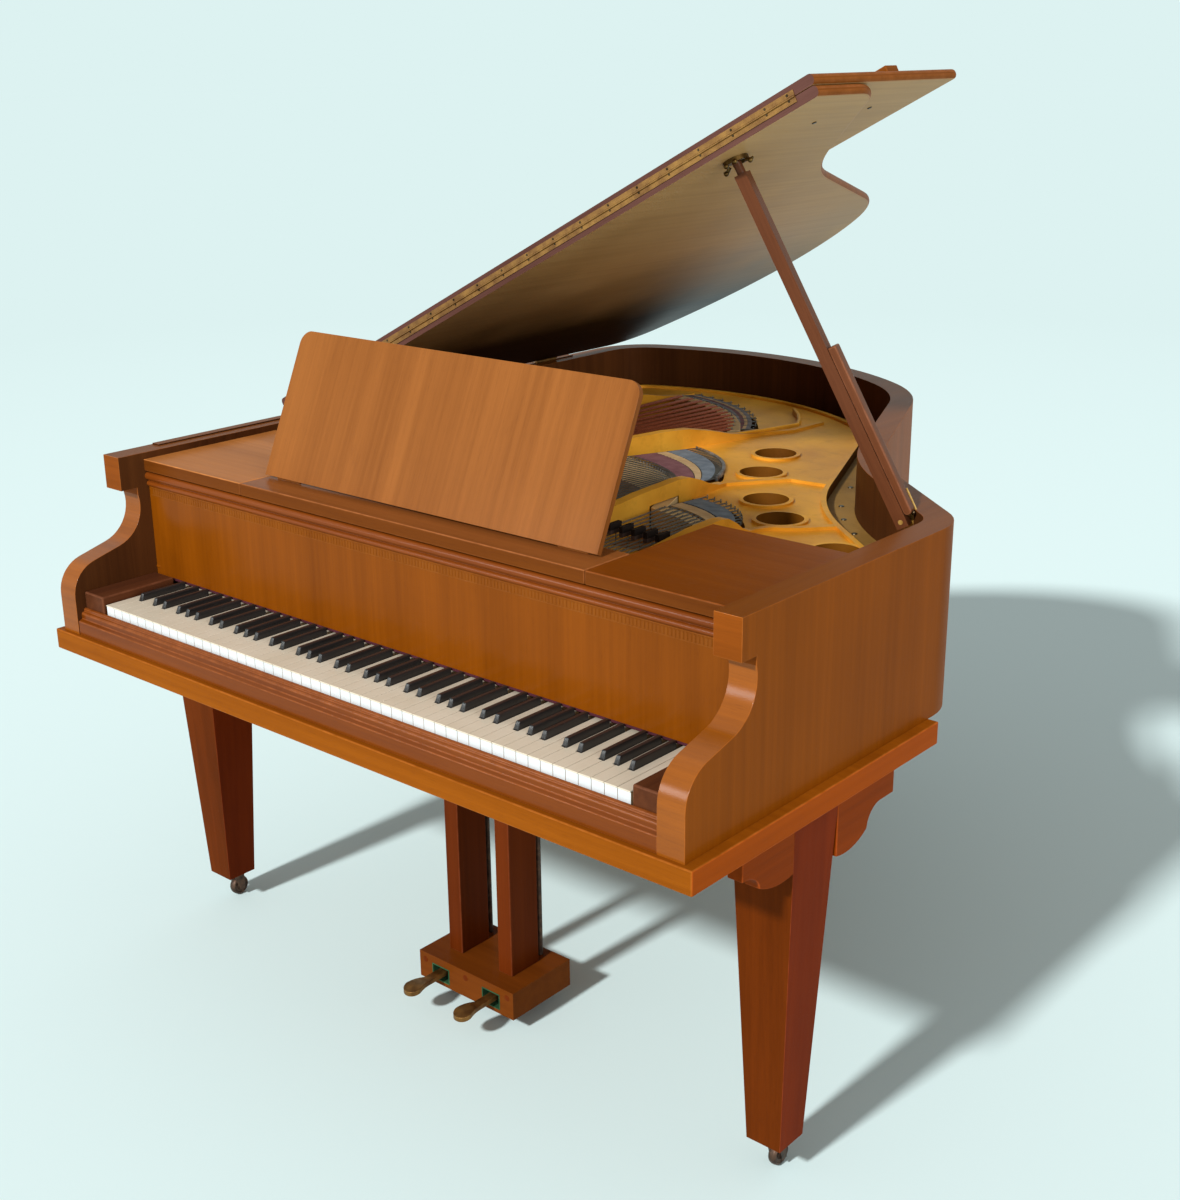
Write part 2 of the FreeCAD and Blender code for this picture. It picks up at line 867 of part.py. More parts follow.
def dampers():
    base = float(string_line + s.string_diameter / 2 + s.seat_gap)
    half = s.damper_width.value / 2
    middle = float(s.window_front + s.damper_length / 2 + s.cut_overrun / 4)
    tray_top = web_base.value - s.damper_tray_drop.value
    wire_radius = s.damper_wire_diameter.value / 2
    found, reach = [], []
    for a, b in string_runs()[::2]:
        x = a.x + (b.x - a.x) * (middle - a.y) / (b.y - a.y)
        side = x + half / 2 + wire_radius + s.string_diameter.value
        head = block(
            (x - half, middle - s.damper_length.value / 2, base),
            (side + wire_radius, middle + s.damper_length.value / 2, base + s.damper_height.value),
        )
        wire = Part.makeCylinder(wire_radius, base - tray_top, Vec(side, middle, tray_top))
        found.append(head.fuse(wire).removeSplitter())
        reach.append(side)
    tray = block(
        (min(reach) - half, middle - half, tray_top - s.damper_tray_thickness.value),
        (max(reach) + half, middle + half, tray_top),
    )
    return Part.makeCompound(found + [tray])


feature("dampers", dampers())


# Key frame: three rails on two stiles, free to slide a little to the treble side


balance_axis_z = s.key_base - s.seat_gap - s.balance_width / 2


def key_frame():
    half = float(keyboard_half)
    rail_top = float(s.key_base - s.seat_gap)
    base = float(keybed_top + s.seat_gap)
    rails = [
        Part.makeCylinder(
            s.balance_width.value / 2,
            2 * half,
            Vec(-half, s.balance_line.value, balance_axis_z.value),
            Vec(1, 0, 0),
        )
    ]
    for line, width, top in (
        (s.front_rail_line, s.key_rail_width, base + s.key_rail_height.value),
        (s.balance_line, s.balance_width, balance_axis_z),
        (s.key_back - s.key_rail_width / 2, s.key_rail_width, rail_top),
    ):
        rails.append(block((-half, line - width / 2, base), (half, line + width / 2, top)))
    for side in (-half, half - s.stile_width.value):
        rails.append(
            block(
                (side, s.front_rail_line, base),
                (side + s.stile_width.value, s.key_back, base + s.stile_height.value),
            )
        )
    return rails[0].fuse(rails[1:]).removeSplitter()


feature("keyframe", key_frame())


# Keys. The lowest natural is an A, so the note names repeat every seven naturals.

note_names = "abcdefg"
natural_count = 52
sharp_back = s.key_front + s.key_visible_length


def natural_note(index):
    return note_names[index % len(note_names)]


def natural_left(index):
    return (index - natural_count / 2) * s.natural_pitch.value


def sharp_middle(index):
    """The middle of the sharp after a natural, or None where there is no sharp."""
    note = natural_note(index)
    inside = 0 <= index < natural_count - 1
    if not inside or note not in sharp_shift_shares:
        return None
    return natural_left(index + 1) + sharp_shift_shares[note] * s.natural_pitch.value


def natural_key(index):
    gap = s.key_gap.value / 2
    left, right = natural_left(index) + gap, natural_left(index + 1) - gap
    beside = s.sharp_width.value / 2 + 2 * gap
    before, after = sharp_middle(index - 1), sharp_middle(index)
    tail_left = left if before is None else before + beside
    tail_right = right if after is None else after - beside
    front, back = s.key_front.value, s.key_back.value
    head = float(sharp_back - s.sharp_length - s.key_gap * 2)
    corners = [(left, front), (right, front), (right, head), (tail_right, head)]
    corners += [(tail_right, back), (tail_left, back), (tail_left, head), (left, head)]
    tidy = [p for i, p in enumerate(corners) if p != corners[i - 1]]
    outline = polygon([Vec(x, y, 0) for x, y in tidy])
    return raised(outline, s.key_base, s.key_thickness).removeSplitter()


def level_rectangle(middle, half, front, back, level):
    points = [(-half, front), (half, front), (half, back), (-half, back)]
    corners = [Vec(middle + x, y, level) for x, y in points]
    return Part.makePolygon([*corners, corners[0]])


def sharp_key(middle):
    """A lever with a raised top that narrows upwards and slopes at its front."""
    half, top_half = s.sharp_width.value / 2, s.sharp_top_width.value / 2
    front, back = float(sharp_back - s.sharp_length), float(sharp_back)
    lever = block(
        (middle - half, front, s.key_base), (middle + half, s.key_back, key_top - s.key_lever_step)
    )
    body = block((middle - half, front, s.key_base), (middle + half, back, key_top))
    top = Part.makeLoft(
        [
            level_rectangle(middle, half, front, back, key_top.value),
            level_rectangle(
                middle,
                top_half,
                front + s.sharp_slope.value,
                back,
                float(key_top + s.sharp_height),
            ),
        ],
        True,
        True,
    )
    return lever.fuse([body, top]).removeSplitter()


for note in note_names:
    found = [natural_key(i) for i in range(natural_count) if natural_note(i) == note]
    feature(f"keys_{note}", Part.makeCompound(found))
for note in sharp_shift_shares:
    middles = [sharp_middle(i) for i in range(natural_count) if natural_note(i) == note]
    found = [sharp_key(x) for x in middles if x is not None]
    feature(f"keys_{note}_sharp", Part.makeCompound(found))


# Key slip: a moulded rail in front of the keys

slip = new_body("slip_body")
slip_top = keybed_top + s.slip_height
slip_nose_shares = [(0.5, 0.0), (1.0, 0.33), (1.0, 1.0), (1.7, 1.2), (2.0, 1.6), (2.0, 3.2)]
slip_foot_share = 3.8
prism(
    slip,
    "YZ_Plane",
    [
        (s.slip_front, keybed_top),
        (s.slip_back, keybed_top),
        (s.slip_back, slip_top),
        *((s.slip_back - s.slip_step * u, slip_top - s.slip_step * v) for u, v in slip_nose_shares),
        (s.slip_front, slip_top - s.slip_step * slip_foot_share),
    ],
    -inside_half + s.seat_gap,
    inside_half - s.seat_gap,
)
keep(slip, "key_slip")

blocks = []
for name, low_x, high_x in (
    ("bass", -inside_half, -keyboard_half - s.key_end_gap),
    ("treble", keyboard_half + s.key_end_gap, inside_half),
):
    blocks.append(
        box(
            f"key_block_{name}",
            (low_x, s.slip_back, keybed_top),
            (high_x, s.fallboard_front - s.key_end_gap, keybed_top + s.key_block_height),
        )
    )
group("key_blocks", blocks)


# Fallboard: a flat panel with a roll and a bead along its top

fallboard_panel = box(
    "fallboard_panel",
    (-inside_half + s.fit_gap, s.fallboard_front, s.fallboard_base),
    (
        inside_half - s.fit_gap,
        s.fallboard_front + s.fallboard_thickness,
        fallboard_top,
    ),
)
roll_line = fallboard_top - s.fallboard_roll_radius
bead_line = roll_line - s.fallboard_roll_radius - s.fallboard_bead_radius * 1.4
mouldings = [
    rod(
        f"fallboard_{name}",
        radius,
        (-inside_half + s.fit_gap, s.fallboard_front, line),
        "X",
        (inside_half - s.fit_gap) * 2,
    )
    for name, radius, line in (
        ("roll", s.fallboard_roll_radius, roll_line),
        ("bead", s.fallboard_bead_radius, bead_line),
    )
]
pivots = [
    rod(
        f"fallboard_pivot_{name}",
        s.fallboard_pin_radius,
        (low_x, fallboard_axis_y, fallboard_axis_z),
        "X",
        s.fallboard_pin_length * 2,
    )
    for name, low_x in (
        ("bass", -inside_half - s.fallboard_pin_length),
        ("treble", inside_half - s.fallboard_pin_length),
    )
]
keep(fuse("fallboard_all", [fallboard_panel, *mouldings, *pivots]), "fallboard")


# Shelves beside the music desk, and the ledge that slides between them

for label, low_x, high_x in (
    ("bass_shelf", -inside_half, -s.bass_shelf_end),
    ("treble_shelf", s.treble_shelf_end, inside_half),
    ("desk_ledge", -s.bass_shelf_end + s.fit_gap, s.treble_shelf_end - s.fit_gap),
):
    shelf = new_body(label + "_body")
    prism(
        shelf,
        "XY_Plane",
        rectangle(low_x, s.shelf_front, high_x, s.shelf_back),
        s.shelf_top - s.shelf_thickness,
        s.shelf_top,
    )
    keep(shelf, label)


# Music desk, hinged on the ledge, with a stay that folds into its back

desk = new_body("desk_body")
prism(
    desk,
    "XZ_Plane",
    rectangle(-s.desk_half_width, ZERO, s.desk_half_width, s.desk_height),
    -s.desk_thickness,
    ZERO,
)
dressed(
    desk,
    "Fillet",
    s.desk_corner_radius,
    lambda e: e.BoundBox.ZMin > s.desk_height.value / 2
    and e.BoundBox.YLength > s.desk_thickness.value / 2
    and e.BoundBox.XLength < s.desk_thickness.value / 2,
)
desk_axis_z = s.shelf_top + s.desk_barrel_radius + s.seat_gap
desk_axis = Vec(0, front_y + s.desk_line.value, desk_axis_z.value)
desk_turn = FreeCAD.Rotation(Vec(1, 0, 0), -s.desk_lean_angle.value)
pocket_depth = s.stay_thickness + s.fit_gap * 2
stay_hinge = desk_axis + desk_turn.multVec(Vec(0, -pocket_depth.value / 2, s.stay_line.value))
stay_slope = math.radians(s.stay_angle.value)
stay_drop = stay_hinge.z - float(s.shelf_top + s.seat_gap)
stay_drop -= math.cos(stay_slope) * s.stay_thickness.value / 2
stay_length = stay_drop / math.sin(stay_slope)
pocket = desk.newObject("PartDesign::Pocket", "desk_pocket")
pocket.Profile = sketch(
    desk,
    "XZ_Plane",
    ZERO,
    rectangle(
        -s.stay_width / 2 - s.fit_gap * 2,
        s.stay_line - s.stay_thickness,
        s.stay_width / 2 + s.fit_gap * 2,
        s.stay_line + Size(repr(stay_length), stay_length) + s.stay_thickness,
    ),
)
pocket.setExpression("Length", pocket_depth.text)
pocket.Reversed = True
before = desk.Shape.Volume
doc.recompute()
if not desk.Shape.Volume < before:
    raise RuntimeError("the pocket for the stay cuts nothing")
desk.Placement = FreeCAD.Placement(desk_axis, desk_turn)
barrels = [
    rod(
        f"desk_barrel_{name}",
        s.desk_barrel_radius,
        (low_x, s.desk_line, desk_axis_z),
        "X",
        s.desk_barrel_length,
    )
    for name, low_x in (
        ("bass", -s.desk_half_width + s.desk_corner_radius),
        ("treble", s.desk_half_width - s.desk_corner_radius - s.desk_barrel_length),
    )
]
keep(fuse("desk_all", [desk, *barrels]), "desk_panel")


def desk_stay():
    """A thin board from its hinge in the desk's back down to the ledge."""
    half = s.stay_thickness.value / 2
    side = s.stay_width.value / 2
    shape = block((-side, 0, -half), (side, stay_length, half))
    knuckle = Part.makeCylinder(half, 2 * side, Vec(-side, 0, 0), Vec(1, 0, 0))
    return shape.fuse(knuckle).removeSplitter()


stay_turn = FreeCAD.Rotation(Vec(1, 0, 0), -s.stay_angle.value)
feature("desk_stay", desk_stay(), FreeCAD.Placement(stay_hinge, stay_turn))


# Lid. It is drawn closed, from its hinge line at the spine, and turned open.

lid_axis = Vec(
    -float(s.case_half_width - s.lid_inset + s.lid_axis_offset),
    front_y,
    float(s.rim_top + s.lid_axis_rise),
)
lid_turn = FreeCAD.Rotation(Vec(0, -1, 0), s.lid_open_angle.value)
lid_place = FreeCAD.Placement(lid_axis, lid_turn)
to_lid = Vec(-lid_axis.x, 0, 0)
lid_left = float(s.lid_axis_offset)
lid_right = float((s.case_half_width - s.lid_inset) * 2 + s.lid_axis_offset)
edge_line = float(s.fold_line + s.strip_leaf_thickness + s.fit_gap)
lid_face = rim_face(s.lid_inset.value, edge_line)
lid_face.translate(to_lid)
lid_shape = raised(lid_face, ZERO, s.lid_thickness)
feature("lid_main", lid_shape, lid_place)

flap_base = float(s.lid_thickness + s.flap_gap)
fold_axis_z = float(s.lid_thickness + s.flap_gap / 2)
flap_top = flap_base + s.lid_thickness.value
flap_end = float(s.fold_line + s.flap_depth)


def flap():
    """The front flap, folded back on the lid, with the small block under its treble end."""
    board = block((lid_left, edge_line, flap_base), (lid_right, flap_end, flap_top))
    middle = edge_line + (flap_end - edge_line) * flap_block_share
    outer = lid_right - s.flap_block_inset.value
    half = s.flap_block_length.value / 2
    stop = block(
        (outer - s.flap_block_width.value, middle - half, flap_top),
        (outer, middle + half, flap_top + s.flap_block_height.value),
    )
    return board.fuse(stop)


feature("lid_flap", flap(), lid_place)


def strip_leaf(base, top):
    """One leaf of the long hinge, on the front edge of the lid or of the flap."""
    return block(
        (
            lid_left + s.strip_end.value,
            edge_line - s.strip_leaf_thickness.value,
            base,
        ),
        (lid_right - s.strip_end.value, edge_line, top),
    )


def strip_pin():
    start = Vec(lid_left + s.strip_end.value, s.fold_line.value, fold_axis_z)
    run = lid_right - lid_left - 2 * s.strip_end.value
    return Part.makeCylinder(s.strip_pin_radius.value, run, start, Vec(1, 0, 0))


lid_leaf = strip_leaf(float(s.lid_thickness - s.strip_leaf_height), s.lid_thickness.value)
flap_leaf_base = fold_axis_z + float(s.strip_pin_radius + s.seat_gap)
feature("flap_hinge_lid_leaf", lid_leaf.fuse(strip_pin()).removeSplitter(), lid_place)
feature(
    "flap_hinge_flap_leaf",
    strip_leaf(flap_leaf_base, flap_leaf_base + s.strip_leaf_height.value),
    lid_place,
)


def butt_lines():
    back = tail_y - float(s.spine_corner_radius + s.spine_corner_radius)
    return [edge_line + (back - edge_line) * share for share in butt_shares]


def butt_rim_leaves():
    """Leaves on top of the spine's outer half, each with the hinge pin along its inner edge."""
    found = []
    half = s.butt_length.value / 2
    for line in butt_lines():
        leaf = block(
            (lid_axis.x - s.butt_leaf_height.value, line - half, s.rim_top),
            (lid_axis.x, line + half, s.rim_top + s.butt_leaf_thickness),
        )
        start = Vec(lid_axis.x, line - half, lid_axis.z)
        pin = Part.makeCylinder(s.butt_pin_radius.value, 2 * half, start, Vec(0, 1, 0))
        found.append(leaf.fuse(pin).removeSplitter())
    return Part.makeCompound(found)


def butt_lid_leaves():
    """Leaves on the lid's left edge, beside the pins."""
    half = s.butt_length.value / 2
    return Part.makeCompound(
        [
            block(
                (lid_left - s.butt_leaf_thickness.value, line - half, ZERO),
                (lid_left, line + half, s.butt_leaf_height),
            )
            for line in butt_lines()
        ]
    )


feature("spine_hinge_rim_leaves", butt_rim_leaves())
feature("spine_hinge_lid_leaves", butt_lid_leaves(), lid_place)


# Lid prop. It turns on a tilted pin beside the bent side, and swings down to lie
# across the plate. Its tip stands in a cup under the lid.

prop_place_share = 0.12
prop_fold = Vec(-0.96, -0.28, 0).normalize()


def bent_inner_point(share):
    """A point on the inner face of the straight run behind the treble corner."""
    walk = Walk(Vec(inside_half.value, s.side_run.value, 0), 90)
    walk.arc(float(s.treble_corner_radius - s.rim_thickness), s.treble_corner_angle.value)
    walk.line(s.bent_run.value * share)
    return walk


bent = bent_inner_point(prop_place_share)
bent_turn = math.radians(bent.heading)
bent_normal = Vec(-math.sin(bent_turn), math.cos(bent_turn), 0)
prop_pin = bent.at + bent_normal * s.prop_standoff.value
prop_pin.z = float(s.rim_top - s.prop_drop)
prop_pin.y += front_y
cup_mouth = lid_place.multVec(
    Vec(s.prop_tip_reach.value, s.prop_tip_line.value, s.cup_bore_depth.value - s.cup_height.value)
)
prop_tip = cup_mouth - lid_turn.multVec(Vec(0, 0, s.fit_gap.value))
prop_along = (prop_tip - prop_pin).normalize()
prop_across = prop_along.cross(prop_fold).normalize()
prop_swing = prop_across.cross(prop_along)
prop_turn = FreeCAD.Rotation(prop_swing, prop_across, prop_along, "ZXY")
prop_place = FreeCAD.Placement(prop_pin, prop_turn)
prop_length = (prop_tip - prop_pin).Length


def prop_stick():
    half, deep = s.prop_width.value / 2, s.prop_depth.value / 2
    taper_share = 0.7
    reach = prop_length - s.cup_radius.value
    shape = block((-deep, -half, -deep), (deep, half, reach))
    tip = Part.makeCylinder(deep * taper_share, s.cup_radius.value, Vec(0, 0, reach))
    lid_plane = Part.makeBox(*[4 * s.cup_radius.value] * 3)
    lid_plane.translate(Vec(-2, -2, 0) * s.cup_radius.value)
    lid_plane.Placement = FreeCAD.Placement(prop_tip, lid_turn) * lid_plane.Placement
    lid_plane.Placement = prop_place.inverse() * lid_plane.Placement
    bore = s.prop_pin_radius.value + s.pin_gap.value
    hole = Part.makeCylinder(bore, 4 * half, Vec(0, -2 * half, 0), Vec(0, 1, 0))
    return shape.fuse(tip).removeSplitter().cut([hole, lid_plane])


feature("prop_stick", prop_stick(), prop_place)

half_prop_base = float(s.prop_boss_radius + s.prop_pin_radius)
half_prop_gap = float(s.prop_depth / 2 + s.seat_gap)


def half_prop():
    """The short stick beside the long one, rounded about its own hinge line."""
    half, deep = s.prop_width.value / 2, s.half_prop_depth.value
    board = block(
        (-half_prop_gap - deep, -half, half_prop_base),
        (-half_prop_gap, half, half_prop_base + s.half_prop_length.value),
    )
    foot = Vec(-half_prop_gap - deep / 2, -half, half_prop_base)
    return board.fuse(Part.makeCylinder(deep / 2, 2 * half, foot, Vec(0, 1, 0))).removeSplitter()


feature("prop_half_stick", half_prop(), prop_place)


def prop_bracket():
    """A plate on the rim with a boss that reaches it and carries the tilted pin."""
    half = s.prop_width.value / 2 + s.seat_gap.value
    side = 1 if prop_across.y > 0 else -1
    out = prop_across * side
    reach = -s.prop_standoff.value / bent_normal.dot(out)
    boss = Part.makeCylinder(
        s.prop_boss_radius.value,
        reach + s.prop_boss_radius.value - half,
        Vec(0, half, 0),
        Vec(0, 1, 0),
    )
    pin = Part.makeCylinder(
        s.prop_pin_radius.value, 2 * half + s.fit_gap.value, Vec(0, -half, 0), Vec(0, 1, 0)
    )
    turned = boss.fuse(pin)
    if side < 0:
        turned.rotate(Vec(), Vec(0, 0, 1), 180)
    turned.Placement = prop_place * turned.Placement
    long, tall = s.prop_plate_length.value, s.prop_plate_height.value
    leaf = Part.makeBox(long, s.prop_plate_thickness.value, tall)
    leaf.rotate(Vec(), Vec(0, 0, 1), bent.heading)
    along = Vec(math.cos(bent_turn), math.sin(bent_turn), 0)
    foot = prop_pin + out * reach
    foot.z = prop_pin.z - tall / 2
    leaf.translate(foot - along * s.prop_plate_lead.value)
    solid_rim = rim_shape.copy()
    solid_rim.translate(Vec(0, front_y, 0))
    return turned.fuse(leaf).cut(solid_rim).removeSplitter()


feature("prop_bracket", prop_bracket(), FreeCAD.Placement())


def prop_cup():
    """A round cup, open on the side to which the prop swings out."""
    radius, deep = s.cup_bore_radius.value, s.cup_bore_depth.value
    mouth = Vec(0, 0, -s.cup_height.value)
    disc = Part.makeCylinder(s.cup_radius.value, s.cup_height.value, mouth)
    bore = Part.makeCylinder(radius, deep, mouth)
    way = Part.makeBox(2 * s.cup_radius.value, 2 * radius, deep, mouth - Vec(0, radius, 0))
    out = lid_turn.inverted().multVec(prop_swing)
    way.rotate(Vec(), Vec(0, 0, 1), math.degrees(math.atan2(out.y, out.x)))
    shape = disc.cut([bore, way])
    shape.translate(Vec(s.prop_tip_reach.value, s.prop_tip_line.value, 0))
    return shape


feature("prop_cup", prop_cup(), lid_place)


# Legs: square tapers with a bore for the caster's stem

leg_side = s.keybed_half_width - s.leg_top_width / 2 - s.seat_gap * 10
leg_places = {
    "bass": (-leg_side, s.leg_line),
    "treble": (leg_side, s.leg_line),
    "rear": (-s.rear_leg_offset, s.rear_leg_line),
}


def leg(name, x, y):
    body = new_body(f"leg_{name}_body")
    profiles = []
    for level, width in ((s.leg_foot_height, s.leg_foot_width), (s.keybed_base, s.leg_top_width)):
        outline = rectangle(x - width / 2, y - width / 2, x + width / 2, y + width / 2)
        profiles.append(sketch(body, "XY_Plane", level, outline))
    loft = body.newObject("PartDesign::AdditiveLoft", f"leg_{name}_loft")
    loft.Profile = profiles[0]
    loft.Sections = profiles[1:]
    loft.Ruled = True
    doc.recompute()
    stem_bore = rod(
        f"leg_{name}_bore",
        s.stem_radius + s.pin_gap,
        (x, y, s.leg_foot_height - s.fit_gap),
        "Z",
        s.stem_height + s.fit_gap * 2,
    )
    keep(cut(f"leg_{name}_bored", body, stem_bore), f"leg_{name}")


for name, (x, y) in leg_places.items():
    leg(name, x, y)


# Leg brackets: scalloped boards under the keybed's sides

waist_share = 0.3
belly_share = 0.05
dip_shares = (0.3, 0.72)


def bracket_edge(leg_edge, end, end_low, low):
    """The lower edge from the leg to one end: a lobe, a hollow and a flat tip."""
    way = math.copysign(1, end - leg_edge)
    lobe = leg_edge + way * s.bracket_lobe.value
    hollow = lobe + way * s.bracket_hollow.value
    middle = (leg_edge + lobe) / 2
    rise = end_low - low
    waist = low + rise * waist_share
    belly = Vec(middle, low - rise * belly_share, 0)
    lobe_arc = Part.Arc(Vec(leg_edge, low, 0), belly, Vec(lobe, waist, 0))
    along, up = dip_shares
    dip = Vec(lobe + (hollow - lobe) * along, waist + (end_low - waist) * up, 0)
    hollow_arc = Part.Arc(Vec(lobe, waist, 0), dip, Vec(hollow, end_low, 0))
    tip = Part.LineSegment(Vec(hollow, end_low, 0), Vec(end, end_low, 0))
    side = Part.LineSegment(Vec(end, end_low, 0), Vec(end, s.keybed_base.value, 0))
    return [edge.toShape() for edge in (lobe_arc, hollow_arc, tip, side)]


def bracket(side):
    """One board in two halves, in front of the leg and behind it."""
    outer = s.keybed_half_width.value - 10 * s.seat_gap.value
    inner = outer - s.bracket_thickness.value
    top = s.keybed_base.value
    end_low, low = top - s.bracket_end_height.value, top - s.bracket_drop.value
    half = s.leg_top_width.value / 2 + s.seat_gap.value
    found = []
    for leg_edge, end in (
        (s.leg_line.value - half, s.bracket_front.value),
        (s.leg_line.value + half, s.bracket_back.value),
    ):
        edges = bracket_edge(leg_edge, end, end_low, low)
        edges.append(Part.LineSegment(Vec(end, top, 0), Vec(leg_edge, top, 0)).toShape())
        edges.append(Part.LineSegment(Vec(leg_edge, top, 0), Vec(leg_edge, low, 0)).toShape())
        profile = face_of(edges)
        profile.rotate(Vec(), Vec(1, 1, 1), 120)
        profile.translate(Vec(inner, 0, 0))
        board = profile.extrude(Vec(outer - inner, 0, 0))
        found.append(board if side > 0 else board.mirror(Vec(), Vec(1, 0, 0)))
    return found


feature("leg_brackets", Part.makeCompound(bracket(-1) + bracket(1)))


# Casters: a fork on a swivel stem, and a wheel on the fork's axle


def caster_fork(x, y):
    half = float(s.wheel_width / 2 + s.fit_gap)
    wide = half + s.fork_thickness.value
    axle_y = s.wheel_trail.value
    top = s.leg_foot_height.value - s.seat_gap.value
    plate_base = top - s.fork_plate_height.value
    cap = Part.makeCylinder(
        s.fork_plate_radius.value, s.fork_plate_height.value, Vec(0, 0, plate_base)
    )
    stem = Part.makeCylinder(s.stem_radius.value, s.stem_height.value, Vec(0, 0, top))
    cheek_half = s.axle_radius.value * 2
    parts = [stem]
    for low in (-wide, half):
        arm = polygon(
            [
                Vec(low, axle_y - cheek_half, s.wheel_radius.value - cheek_half),
                Vec(low, axle_y + cheek_half, s.wheel_radius.value - cheek_half),
                Vec(low, axle_y + cheek_half, plate_base + s.fork_thickness.value),
                Vec(low, -cheek_half, plate_base + s.fork_thickness.value),
            ]
        )
        parts.append(arm.extrude(Vec(s.fork_thickness.value, 0, 0)))
    axle = Part.makeCylinder(
        s.axle_radius.value, 2 * wide, Vec(-wide, axle_y, s.wheel_radius.value), Vec(1, 0, 0)
    )
    wheel_room = Part.makeCylinder(
        float(s.wheel_radius + s.fit_gap * 2),
        2 * half,
        Vec(-half, axle_y, s.wheel_radius.value),
        Vec(1, 0, 0),
    )
    shape = cap.fuse(parts).cut(wheel_room).fuse(axle).removeSplitter()
    shape.translate(Vec(float(x), float(y), 0))
    return shape


def caster_wheel(x, y):
    axle_y = float(y) + s.wheel_trail.value
    start = Vec(float(x) - s.wheel_width.value / 2, axle_y, s.wheel_radius.value)
    tread = Part.makeCylinder(s.wheel_radius.value, s.wheel_width.value, start, Vec(1, 0, 0))
    bore = float(s.axle_radius + s.pin_gap)
    hole = Part.makeCylinder(bore, s.wheel_width.value, start, Vec(1, 0, 0))
    return tread.cut(hole)


for name, (x, y) in leg_places.items():
    feature(f"caster_fork_{name}", caster_fork(x, y))
    feature(f"caster_wheel_{name}", caster_wheel(x, y))


# Lyre: the pedal box on two posts, with braces behind

pedal_base = s.lyre_base + s.pedal_rise
pedal_top = pedal_base + s.pedal_thickness
lyre_back = s.lyre_front + s.lyre_depth
pedal_sides = {"soft": -s.pedal_spacing / 2, "sustain": s.pedal_spacing / 2}


def lyre_box():
    """The box with a slot for each pedal and holes for the pins and rods."""
    shape = block(
        (-s.lyre_half_width, s.lyre_front, s.lyre_base), (s.lyre_half_width, lyre_back, lyre_top)
    )
    wall = float(s.slot_drop)
    for x in pedal_sides.values():
        middle, half = x.value, s.slot_width.value / 2
        slot = block(
            (middle - half, s.lyre_front.value - wall, pedal_base - s.slot_drop),
            (middle + half, s.pedal_back_line + s.fit_gap * 2, pedal_top + s.slot_rise),
        )
        rod_hole = Part.makeCylinder(
            float(s.rod_radius + s.fit_gap),
            s.lyre_height.value,
            Vec(middle, s.rod_line.value, pedal_top.value),
        )
        shape = shape.cut([slot, rod_hole])
        pin = Part.makeCylinder(
            s.pedal_pin_radius.value,
            2 * half,
            Vec(middle - half, s.pedal_pin_line.value, float(pedal_base + s.pedal_thickness / 2)),
            Vec(1, 0, 0),
        )
        shape = shape.fuse(pin)
    return shape.removeSplitter()


feature("lyre_box", lyre_box())


def pedal(x):
    """A flat lever with a rounded foot plate, bored for its pin."""
    middle = x.value
    neck, foot = s.pedal_neck_width.value / 2, s.pedal_width.value / 2
    front = float(s.lyre_front - s.pedal_reach)
    back = s.pedal_back_line.value
    bend = front + foot * 3
    walk = Walk(Vec(middle + neck, back, 0), -90)
    walk.line(back - bend)
    edges = walk.edges
    widest = front + foot
    flare = [Vec(middle + neck, bend, 0), Vec(middle + foot, widest, 0)]
    edges.append(Part.LineSegment(*flare).toShape())
    tip = Part.Arc(flare[1], Vec(middle, front, 0), Vec(middle - foot, widest, 0))
    edges.append(tip.toShape())
    corners = [
        Vec(middle - foot, widest, 0),
        Vec(middle - neck, bend, 0),
        Vec(middle - neck, back, 0),
        Vec(middle + neck, back, 0),
    ]
    edges += [Part.LineSegment(a, b).toShape() for a, b in zip(corners, corners[1:])]
    shape = raised(face_of(edges), pedal_base, s.pedal_thickness)
    hole = Part.makeCylinder(
        float(s.pedal_pin_radius + s.pin_gap),
        4 * foot,
        Vec(middle - 2 * foot, s.pedal_pin_line.value, float(pedal_base + s.pedal_thickness / 2)),
        Vec(1, 0, 0),
    )
    boss = Part.makeCylinder(
        s.pedal_pin_radius.value * 2,
        2 * neck,
        Vec(middle - neck, s.pedal_pin_line.value, float(pedal_base + s.pedal_thickness / 2)),
        Vec(1, 0, 0),
    )
    return shape.fuse(boss).cut(hole).removeSplitter()


for name, x in pedal_sides.items():
    feature(f"pedal_{name}", pedal(x))
    keep(
        rod(
            f"rod_{name}",
            s.rod_radius,
            (x, s.rod_line, pedal_top + s.seat_gap),
            "Z",
            s.keybed_base - s.rod_head_gap - pedal_top,
        ),
        f"pedal_rod_{name}",
    )

posts = []
for name, side in (("bass", -1), ("treble", 1)):
    middle = s.post_spacing * side / 2
    posts.append(
        box(
            f"post_{name}",
            (middle - s.post_width / 2, s.post_front, lyre_top),
            (middle + s.post_width / 2, s.post_front + s.post_depth, s.keybed_base),
        )
    )
group("lyre_posts", posts)


def lyre_braces():
    """Two slanted rods from the posts' backs to the underside of the keybed."""
    post_back = s.post_front + s.post_depth
    room = block(
        (-s.case_half_width, post_back, lyre_top), (s.case_half_width, s.keybed_depth, s.keybed_base)
    )
    found = []
    for side in (-1, 1):
        x = side * s.brace_spacing.value / 2
        foot = Vec(x, post_back.value, s.brace_foot_height.value)
        run = Vec(x, s.brace_head_line.value, s.keybed_base.value) - foot
        spare = run * (s.cut_overrun.value / run.Length)
        stick = Part.makeCylinder(
            s.brace_radius.value, run.Length + 2 * spare.Length, foot - spare, run
        )
        found.append(stick.common(room))
    return Part.makeCompound(found)


feature("lyre_braces", lyre_braces())


# Every object has to be sound before any file is written

